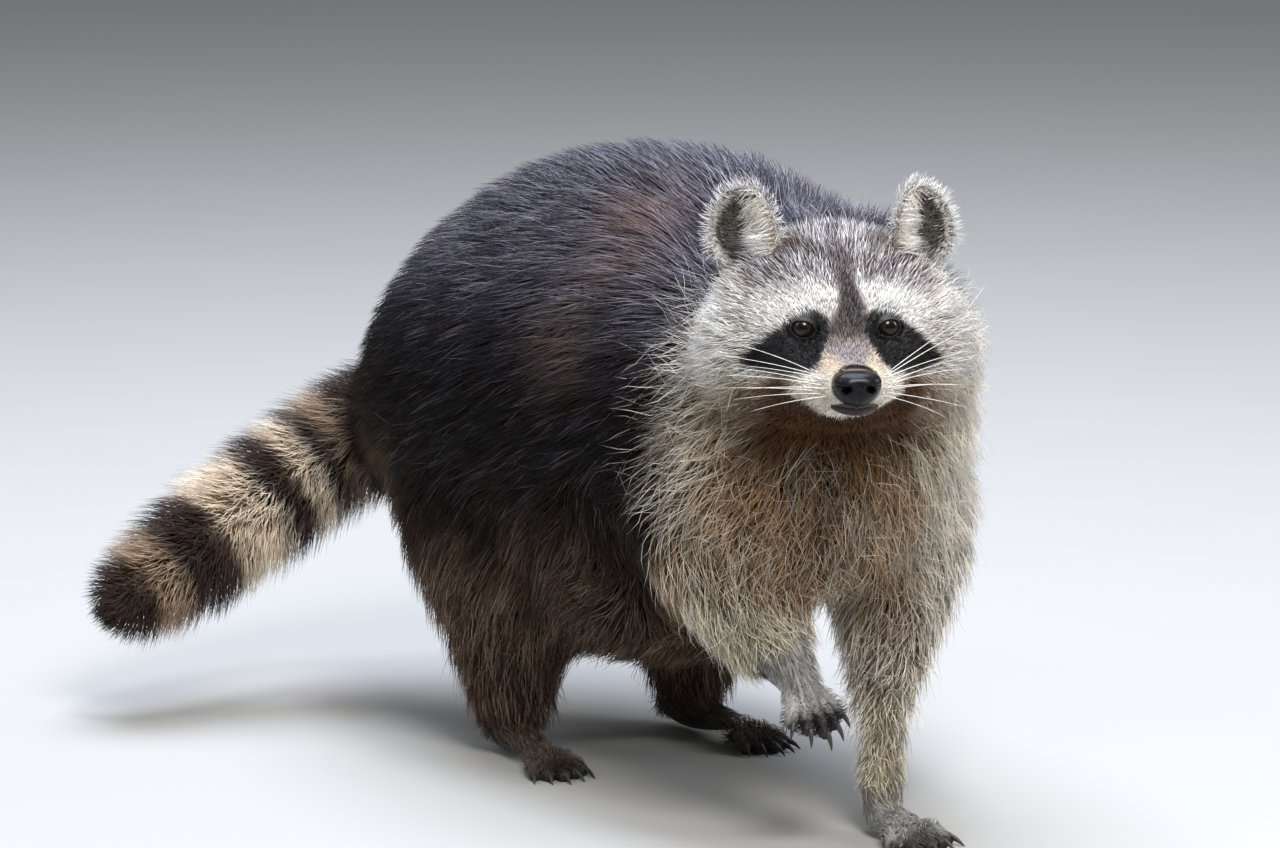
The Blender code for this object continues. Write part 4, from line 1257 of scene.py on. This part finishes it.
def hair_group():
    """Colour and roughness that vary from hair to hair and from lock to lock."""
    group, inside, outside = new_group("Hair tone", (
        ("Color", "NodeSocketColor", (0.5, 0.5, 0.5, 1.0)), ("Spread", "NodeSocketFloat", 0.2)),
        (("Color", "NodeSocketColor"), ("Roughness", "NodeSocketFloat")))
    place = object_place(group)
    fine = noise(group, 900.0, 2.0, place)
    both = maths(group, "ADD", fine, noise(group, 60.0, 3.0, place))
    centred = ranged(group, both, -1.0, 1.0, 0.6, 1.4)
    scaled = maths(group, "MULTIPLY_ADD", centred, inside.outputs["Spread"], 1.0)
    tone = group.nodes.new("ShaderNodeHueSaturation")
    group.links.new(scaled, tone.inputs["Value"])
    group.links.new(inside.outputs["Color"], tone.inputs["Color"])
    group.links.new(tone.outputs["Color"], outside.inputs["Color"])
    group.links.new(ranged(group, fine, 0.48, 0.66), outside.inputs["Roughness"])
    return group


def pebble_group():
    """Fine pebbled relief of bare skin."""
    group, inside, outside = new_group("Skin pebbles", (
        ("Scale", "NodeSocketFloat", 900.0), ("Strength", "NodeSocketFloat", 0.4)),
        (("Normal", "NodeSocketVector"), ("Relief", "NodeSocketFloat")))
    cells = group.nodes.new("ShaderNodeTexVoronoi")
    cells.feature = "DISTANCE_TO_EDGE"
    group.links.new(object_place(group), cells.inputs["Vector"])
    group.links.new(inside.outputs["Scale"], cells.inputs["Scale"])
    height = ranged(group, cells.outputs["Distance"], 0.0, 1.0, 0.0, 0.35)
    bump = set_inputs(group.nodes.new("ShaderNodeBump"), {"Distance": 0.0004})
    group.links.new(inside.outputs["Strength"], bump.inputs["Strength"])
    group.links.new(height, bump.inputs["Height"])
    group.links.new(bump.outputs["Normal"], outside.inputs["Normal"])
    group.links.new(height, outside.inputs["Relief"])
    return group


HAIR = hair_group()
PEBBLES = pebble_group()
COATS = {}                            # the coat's materials, one for each slot


def place_group(tree, group, **values):
    node = tree.nodes.new("ShaderNodeGroup")
    node.node_tree = group
    return set_inputs(node, values)


def link_hair(tree, shader, variety):
    """Give a shader the colours kept in the mesh, varied like hair."""
    paint = tree.nodes.new("ShaderNodeAttribute")
    paint.attribute_name = "coat"
    hair = place_group(tree, HAIR, Spread=variety)
    tree.links.new(paint.outputs["Color"], hair.inputs["Color"])
    tree.links.new(hair.outputs["Color"], shader.inputs["Base Color"])
    tree.links.new(hair.outputs["Roughness"], shader.inputs["Roughness"])


def coat_material(slot_name):
    """Hair that carries its tufts' own colours."""
    if slot_name not in COATS:
        material, tree, shader = new_material(slot_name)
        link_hair(tree, shader, 0.22)
        shader.inputs["Specular IOR Level"].default_value = 0.14
        COATS[slot_name] = material
    return COATS[slot_name]


def skin_material():
    """Skin under the coat, with the same marks, pebbled where it is bare."""
    material, tree, shader = new_material("skin")
    link_hair(tree, shader, 0.3)
    relief = place_group(tree, PEBBLES, Scale=700.0, Strength=0.5)
    tree.links.new(relief.outputs["Normal"], shader.inputs["Normal"])
    return material


def leather_material(name, colour, light, scale, strength, rough):
    """Moist bare skin of nose and lips."""
    material, tree, shader = new_material(name)
    relief = place_group(tree, PEBBLES, Scale=scale, Strength=strength)
    tree.links.new(blended(tree, colour, light, relief.outputs["Relief"]), shader.inputs["Base Color"])
    tree.links.new(relief.outputs["Normal"], shader.inputs["Normal"])
    patches = noise(tree, 250.0, 2.0, object_place(tree))
    tree.links.new(ranged(tree, patches, rough - 0.08, rough + 0.12), shader.inputs["Roughness"])
    set_inputs(shader, {"Specular IOR Level": 0.08, "Coat Weight": 0.28, "Coat Roughness": 0.24})
    return material


def horn_material(name, root, tip, rough):
    """Claws and whiskers, streaked along their length."""
    material, tree, shader = new_material(name)
    streaks = noise(tree, 400.0, 3.0, object_place(tree))
    tree.links.new(blended(tree, root, tip, ranged(tree, streaks, 0.0, 1.0)), shader.inputs["Base Color"])
    tree.links.new(ranged(tree, streaks, rough - 0.1, rough + 0.1), shader.inputs["Roughness"])
    return material


EYE_REACH = 0.0082                    # metres from the pupil's middle to the end of the eye's colours
EYE_COLOURS = (                       # share of that reach, and colour
    (0.0, (0.001, 0.001, 0.0015)), (0.34, (0.001, 0.001, 0.0015)), (0.40, (0.016, 0.008, 0.004)),
    (0.62, (0.012, 0.006, 0.004)), (0.72, (0.002, 0.002, 0.002)), (1.0, (0.02, 0.018, 0.018)))


def eye_material(side):
    """Black pupil, dark brown iris and darker rim under a wet surface."""
    material, tree, shader = new_material("eye_" + ("left" if side > 0 else "right"))
    centre, _, gaze, _ = eye_axes(side)
    place = object_place(tree)
    gap = tree.nodes.new("ShaderNodeVectorMath")
    gap.operation = "DISTANCE"
    gap.inputs[1].default_value = to_world(from_head(centre + gaze * EYE_RADIUS)).tolist()
    tree.links.new(place, gap.inputs[0])
    fibres = noise(tree, 1500.0, 4.0, place)
    ringed = maths(tree, "MULTIPLY_ADD", fibres, 0.0008, gap.outputs["Value"])
    ramp = tree.nodes.new("ShaderNodeValToRGB")
    tree.links.new(ranged(tree, ringed, 0.0, 1.0, 0.0, EYE_REACH), ramp.inputs["Fac"])
    for k, (spot, colour) in enumerate(EYE_COLOURS):
        stop = ramp.color_ramp.elements[k] if k < 2 else ramp.color_ramp.elements.new(spot)
        stop.position = spot
        stop.color = (*colour, 1.0)
    tree.links.new(ramp.outputs["Color"], shader.inputs["Base Color"])
    set_inputs(shader, {"Roughness": 0.3, "Specular IOR Level": 0.1, "Coat Weight": 0.55,
                        "Coat Roughness": 0.03})
    return material


# ---------------------------------------------------------------- face and feet details

WHISKER_PLACE = (1.35, -2.1)          # the first root, across and up on the muzzle
WHISKER_STEP = (0.28, 0.1)            # from one root to the next behind it
WHISKER_ROW_DROP = 0.42
WHISKER_LENGTH = 5.6
WHISKER_RADIUS = (0.016, 0.005)       # what tapers off, and what is left at the tip


def add_piece(item, material, slot_name, *nodes):
    """Give a finished shape its material and smooth shading, and bring it into the world on the root body.
    """
    item.data.materials.clear()
    item.data.materials.append(material)
    item.data.polygons.foreach_set("use_smooth", np.ones(len(item.data.polygons), bool))
    return finish_piece(item, slot_name, *nodes)


def eyeball(side):
    """A ball with the cornea standing a little out."""
    centre, _, gaze, _ = eye_axes(side)
    bm = ball(48, 32, (EYE_RADIUS,) * 3)
    for vert in bm.verts:
        facing = vert.co.normalized().dot(Vector(gaze.tolist()))
        vert.co *= 1.0 + 0.05 * float(smoothstep(0.70, 0.9, facing))
        vert.co += Vector(centre.tolist())
    name = "left" if side > 0 else "right"
    item = object_from(f"eyeball_{name}", placed(bm, HEAD_MATRIX))
    add_piece(item, eye_material(side), "eye_gloss", f"eye_{name}")


def nose_pad():
    """The nose: a broad pad with comma-shaped nostrils and a groove between them."""
    bm = ball(96, 64)
    for vert in bm.verts:
        x, y, z = vert.co
        wide = NOSE_HALF_WIDTH * (1.0 - 0.14 * max(-z, 0.0) + 0.04 * max(z, 0.0))
        power = 2.0 + 0.8 * float(smoothstep(-0.3, 0.2, z))
        square = (abs(x) ** power + abs(y) ** power + abs(z) ** power) ** (-1.0 / power)
        px, py, pz = x * wide * square, y * 0.96 * square, z * square * (0.72 if z > 0.0 else 1.0)
        front = float(smoothstep(0.1, -0.4, y))
        across, high = abs(px) - NOSTRIL[0], pz - NOSTRIL[1]
        hole = math.exp(-((across / 0.21) ** 2 + ((high + 0.25 * across) / 0.17) ** 2) ** 1.6)
        slit = math.exp(-((high - 0.10 - 0.16 * across) / 0.075) ** 2) * float(smoothstep(0.0, 0.2, across))
        slit *= float(smoothstep(0.75, 0.35, across))
        groove = math.exp(-(px / 0.05) ** 2) * float(smoothstep(0.25, -0.3, pz))
        wing = math.exp(-((across / 0.36) ** 2 + ((high - 0.02) / 0.34) ** 2))
        py += front * (0.55 * hole + 0.20 * slit + 0.08 * groove - 0.07 * wing)
        vert.co = (px, py, pz)
    item = object_from("nose_pad", placed(bm, HEAD_MATRIX @ Matrix.Translation(NOSE_CENTRE.tolist())))
    leather = leather_material("nose_leather", (0.0010, 0.0010, 0.0018), (0.003, 0.003, 0.005),
                               1500.0, 0.6, 0.3)
    add_piece(item, leather, "nose_skin", "nose")


def skin_front(tree, x, z):
    """Point on the skin straight behind a place in front of the face."""
    start = Vector(from_head(np.array((x, -9.0, z))).tolist())
    way = Vector((HEAD_AXES @ np.array((0.0, 1.0, 0.0))).tolist())
    found = tree.ray_cast(start, way)[0]
    return to_head(np.array(found)) if found else np.array((x, -2.0, z))


def lips(tree):
    """The dark lower lip and the groove that runs down to it from the nose."""
    lip = []
    for x in np.linspace(-LIP_REACH, LIP_REACH, 25):
        radius = 0.08 + 0.25 * math.cos(x / LIP_REACH * math.pi / 2) ** 0.7
        place = skin_front(tree, x, LIP_HEIGHT + 0.08 * x * x)
        place[1] += radius - LIP_FULLNESS
        lip.append((*place, radius))
    groove = [(*(skin_front(tree, 0.0, z) + np.array((0.0, 0.03, 0.0))), 0.09)
              for z in np.linspace(-3.1, LIP_HEIGHT, 6)]
    item = joined("lips", [placed(tube(lip, 12), HEAD_MATRIX), placed(tube(groove, 8), HEAD_MATRIX)])
    leather = leather_material("lip_leather", (0.028, 0.020, 0.017), (0.055, 0.042, 0.037),
                               1100.0, 0.35, 0.5)
    add_piece(item, leather, "nose_skin")


def whisker(tree, side, row, rank):
    """One long stiff hair, from its row counted downwards and its rank counted backwards."""
    x = side * (WHISKER_PLACE[0] + WHISKER_STEP[0] * rank)
    z = WHISKER_PLACE[1] - WHISKER_ROW_DROP * row + WHISKER_STEP[1] * rank
    root = skin_front(tree, x, z)
    rise = (0.42 - 0.30 * row + 0.14 * rank) * (1.0 if side > 0 else 0.55) + rng.normal(0.0, 0.05)
    way = unit(np.array((side, 0.10 + 0.12 * rank, rise)))
    long = (WHISKER_LENGTH - 0.5 * row - 0.5 * (2 - rank)) * rng.uniform(0.85, 1.1)
    droop = rng.uniform(0.25, 0.7)
    stations = []
    for t in np.linspace(0.0, 1.0, 12):
        place = root + way * (long * t) + np.array((0.0, 0.5 * t * t, -droop * t * t))
        stations.append((*place, WHISKER_RADIUS[0] * (1.0 - t) ** 0.7 + WHISKER_RADIUS[1]))
    return placed(tube(stations, 6), HEAD_MATRIX)


def whiskers(tree):
    """Three rows of three whiskers on each side of the muzzle."""
    forms = [whisker(tree, side, row, rank) for side in (1, -1) for row, rank in np.ndindex(3, 3)]
    hair = horn_material("whisker", (0.70, 0.67, 0.60), (0.85, 0.83, 0.78), 0.4)
    add_piece(joined("whiskers", forms), hair, "coat_face")


# ---------------------------------------------------------------- the whole coat

def bare_places(fields):
    """One where hair grows, and less on lids, nose, lips and pads and in the ears' hollows."""
    q, points, normals, shares = (fields[name] for name in ("head", "points", "normals", "shares"))
    hairy = np.ones(len(q))
    for side in (1, -1):
        centre, outwards, gaze, up = eye_axes(side)
        d = q - centre
        ring = np.hypot((d @ outwards) / LID_HALF_WIDTH, (d @ up) / LID_HALF_HEIGHT)
        near = (d @ gaze > -0.9) & (d @ gaze < 2.5)
        hairy = np.where(near, hairy * smoothstep(1.12, 1.45, ring), hairy)
    nose = np.linalg.norm((q - NOSE_CENTRE) / (NOSE_HALF_WIDTH, 1.0, 0.92), axis=1)
    hairy *= smoothstep(1.02, 1.12, nose)
    lip = ((q[:, 0] / 1.25) ** 2 + ((q[:, 2] - LIP_HEIGHT - 0.14) / 0.42) ** 2 < 1.0) & (q[:, 1] < -3.0)
    hairy *= 1.0 - lip
    sole = smoothstep(-0.35, -0.75, normals[:, 2]) * (points[:, 2] < 1.2)
    hairy = np.where(shares["paw"] > 0.5, hairy * (1.0 - sole), hairy)
    for side, name in EARS:
        hollow = ear_front(normals, side) * smoothstep(0.75, 0.55, np.hypot(*ear_place(points, side)))
        hairy = np.where(shares[name] > 0.5, hairy * (1.0 - 0.75 * hollow), hairy)
    return hairy


def by_region(fields, **values):
    """A value for each point of the skin from one value for each region."""
    return sum(fields["shares"][name] * value for name, value in values.items())


def paint_skin(skin, fields):
    """Give the skin the coat's marks, a little darker, with dark eye sockets."""
    points = fields["points"]
    no_grain, even_luck = np.zeros(len(points)), np.ones(len(points))
    colours = markings(points, fields["normals"], fields["shares"], no_grain, even_luck)
    paint = 0.45 * colours[:, 0] + 0.35 * colours[:, 1]
    for side in (1, -1):
        gap = gap_to(fields["head"], eye_axes(side)[0])
        paint = mix(paint, np.array(SOCKET), smoothstep(1.15, 0.95, gap))
    write_paint(skin.data, paint)


def grow_coat(fields):
    """Undercoat and guard hairs over the whole skin."""
    q, crown, hairy = fields["head"], fields["crown"], bare_places(fields)
    face = smoothstep(3.2, 0.5, q[:, 1])
    ruff = smoothstep(3.0, 5.5, np.abs(q[:, 0])) * smoothstep(3.0, 0.0, q[:, 2])
    ruff *= smoothstep(-0.5, 1.5, q[:, 1])
    density = by_region(fields, trunk=11.0, neck=15.0, head=36.0 + 40.0 * face + 24.0 * crown, leg=16.0,
                        paw=40.0, tail=34.0, ear_left=64.0, ear_right=64.0)
    width = by_region(fields, trunk=0.12, neck=0.10, head=0.062 - 0.024 * face - 0.016 * crown, leg=0.092,
                      paw=0.046, tail=0.075, ear_left=0.04, ear_right=0.04)
    under = grow(fields, density * hairy, SHORT, width, 0.35, reach=0.8, rise=0.82, lock_size=0.7, stray=0.6)
    chest = smoothstep(1.0, -2.0, under["seen"][:, 1]) * (1.0 - under["shares"]["head"])
    under["colour"] *= (1.0 - 0.35 * chest)[:, None, None]
    coat_pieces("under", under)
    density = by_region(fields, trunk=12.5, neck=15.2, head=6.0 + 12.0 * ruff, leg=8.7, tail=20.0)
    width = by_region(fields, trunk=0.075, neck=0.06, head=0.046, leg=0.056, paw=0.05, tail=0.052,
                      ear_left=0.04, ear_right=0.04)
    guard = grow(fields, density * hairy, LONG, width, 0.55, reach=1.08, lock_size=0.85, stray=1.0,
                 tips_out=0.12)
    seen = guard["seen"]
    pale = smoothstep(0.0, -3.0, seen[:, 1]) * (1.0 - guard["shares"]["head"])
    # Pale tips are kept off the throat, whose dark is partly painted shade.
    pale *= smoothstep(4.5, 6.0, gap_to(seen, THROAT_MIDDLE))
    pale *= 1.0 - 0.75 * warm_patches(seen)
    pale *= smoothstep(2.0, -1.0, to_head(seen)[:, 2])
    guard["colour"] = layered(guard["colour"], (CHEST_FROST, pale * rng.random(len(pale)) ** 1.2))
    coat_pieces("guard", guard)


def chest_strands(fields):
    """Thin, pale, wavy hairs that stand out of the chest, throat, cheeks and thighs."""
    q, y, z, shares = fields["head"], fields["points"][:, 1], fields["points"][:, 2], fields["shares"]
    chest = smoothstep(1.0, -3.0, y) * (shares["trunk"] + shares["neck"] + 0.8 * shares["leg"])
    chest *= smoothstep(2.0, -1.0, q[:, 2])
    cheek = shares["head"] * smoothstep(4.0, 5.6, np.abs(q[:, 0])) * smoothstep(1.5, -1.0, q[:, 2])
    thigh = 0.35 * smoothstep(8.0, 12.0, y) * smoothstep(13.0, 8.0, z)
    density = STRANDS * (chest + 0.8 * cheek + thigh * (shares["trunk"] + shares["leg"]))
    longer = dict(fields, length=1.12 * fields["length"])
    strands = grow(longer, density, WAVY, np.full(len(y), 0.05), 0.25, wander=0.4, stray=1.0, tips_out=0.42,
                   waves=0.10)
    seen = strands["seen"]
    # Pale strands are kept off the throat, whose dark is partly painted shade.
    share = rng.uniform(0.35, 1.0, len(seen)) * smoothstep(2.5, 5.0, gap_to(seen, THROAT_MIDDLE))
    frost = layered(tint(len(seen), THIGH_FROST), (CHEST_FROST, smoothstep(4.0, 0.0, seen[:, 1])))
    strands["colour"] = layered(strands["colour"], (frost, share))
    coat_pieces("strands", strands)


def ear_tufts(fields):
    """Long pale hair across each ear's hollow from its inner edge, and bright hair round its rim."""
    count = len(fields["points"])
    for side, name in EARS:
        across, up = ear_place(fields["points"], side)
        on_ear = fields["shares"][name] > 0.3
        inner = ear_front(fields["normals"], side) * smoothstep(-0.2, -0.6, across)
        inner = inner * smoothstep(-1.0, -0.7, up) * smoothstep(1.05, 0.85, up)
        own = dict(fields, depth=np.full(count, 0.47), length=1.35 + 0.6 * smoothstep(0.4, -0.5, up),
                   flow=from_ear(vectors(side, -0.25, -0.1 - 0.55 * up), side))
        tufts = grow(own, 190.0 * inner * on_ear, LONG, np.full(count, 0.04), 0.5, wander=0.3, lock_size=0.6)
        tufts["colour"] = tint(len(tufts["line"]), EAR_TUFT)
        tufts["colour"] *= rng.uniform(0.82, 1.02, len(tufts["line"]))[:, None, None]
        coat_pieces(name, tufts)
        rim = smoothstep(0.84, 0.94, np.hypot(across, up)) * smoothstep(-0.5, -0.1, up)
        own.update(length=np.full(count, 0.75), flow=from_ear(vectors(side * across, 0.0, up), side))
        tufts = grow(own, 60.0 * rim * on_ear, LONG, np.full(count, 0.035), 0.3, wander=0.3, lock_size=0.4)
        tufts["colour"] = tint(len(tufts["line"]), WHITE)
        coat_pieces("rim_" + name, tufts)


def build_animal():
    skin, outside = make_skin()
    unwrap(skin)
    fields = skin_fields(skin)
    fields.update(outside=outside, triangles=triangles_of(skin.data))
    paint_skin(skin, fields)
    tree = surface_tree(skin)
    grow_coat(fields)
    chest_strands(fields)
    ear_tufts(fields)
    for side in (1, -1):
        eyeball(side)
    nose_pad()
    lips(tree)
    whiskers(tree)
    horn = horn_material("claw_horn", (0.020, 0.017, 0.015), (0.050, 0.042, 0.036), 0.35)
    add_piece(claws(), horn, "paw_skin")
    add_piece(skin, skin_material(), "coat_dark", *FLESH, *PAWS, "ear_left", "ear_right")


build_animal()


# ---------------------------------------------------------------- floor, light and camera

FLOOR_SIZE = 6.0
FLOOR_COLOUR = (0.42, 0.415, 0.40, 1.0)
ROOM_COLOUR = (0.72, 0.74, 0.78, 1.0)
ROOM_STRENGTH = 0.27
LIGHTS = (                            # name, turn and rise in degrees, distance, size, power and colour
    ("key", -18.0, 44.0, 2.6, 1.0, 62.0, (1.0, 0.98, 0.95)),
    ("sky", 170.0, 72.0, 2.4, 2.0, 96.0, (0.80, 0.86, 1.0)),
    ("window", -6.0, 77.0, 2.8, 0.6, 32.0, (0.90, 0.95, 1.0)),
    ("side", -105.0, 38.0, 3.0, 1.4, 14.0, (0.92, 0.96, 1.0)),
    ("fill", 62.0, 24.0, 3.0, 1.2, 30.0, (0.95, 0.97, 1.0)),
)
LIT_PLACE = (0.0, 8.0, 16.0)          # where all lights point
CAMERA_TURN = math.radians(-30.0)
CAMERA_RISE = math.radians(10.0)
CAMERA_DISTANCE = 3.0
CAMERA_LENS = 168.75
SENSOR_WIDTH = 36.0
CAMERA_ASIDE = (-0.10225, -0.0485)    # the eyes' middle lies right of and above the view's middle


def heading(turn, rise):
    """The way towards a place round the model, turned from straight ahead and raised."""
    return np.array((math.sin(turn) * math.cos(rise), -math.cos(turn) * math.cos(rise), math.sin(rise)))


def floor():
    bm = bmesh.new()
    bmesh.ops.create_grid(bm, x_segments=1, y_segments=1, size=FLOOR_SIZE)
    item = object_from("floor", bm)
    material, tree, shader = new_material("floor")
    patches = noise(tree, 8.0, 4.0, object_place(tree))
    tree.links.new(ranged(tree, patches, 0.75, 0.85), shader.inputs["Roughness"])
    shader.inputs["Base Color"].default_value = FLOOR_COLOUR
    item.data.materials.append(material)


def studio():
    """Soft round lights that all face the model, and a faintly lit room."""
    target = Vector(to_world(LIT_PLACE).tolist())
    for name, turn, rise, distance, size, power, colour in LIGHTS:
        light = bpy.data.lights.new(name, "AREA")
        light.shape = "DISK"
        light.size = size
        light.energy = power
        light.color = colour
        item = link(name, light)
        way = Vector(heading(math.radians(turn), math.radians(rise)).tolist())
        item.location = target + way * distance
        item.rotation_euler = way.to_track_quat("Z", "Y").to_euler()
    world = bpy.data.worlds.new("room")
    world.use_nodes = True
    set_inputs(world.node_tree.nodes["Background"], {"Color": ROOM_COLOUR, "Strength": ROOM_STRENGTH})
    bpy.context.scene.world = world
    bpy.context.scene.view_settings.view_transform = "Standard"


def camera():
    back = heading(CAMERA_TURN, CAMERA_RISE)
    right = np.array((math.cos(CAMERA_TURN), math.sin(CAMERA_TURN), 0.0))
    up = np.cross(back, right)
    place = to_world(EYES_IN_BODY) + back * CAMERA_DISTANCE + right * CAMERA_ASIDE[0] + up * CAMERA_ASIDE[1]
    lens = bpy.data.cameras.new("camera")
    lens.lens = CAMERA_LENS
    lens.sensor_width = SENSOR_WIDTH
    item = link("camera", lens)
    item.location = place.tolist()
    item.rotation_euler = (math.pi / 2 - CAMERA_RISE, 0.0, CAMERA_TURN)
    bpy.context.scene.camera = item


floor()
studio()
camera()
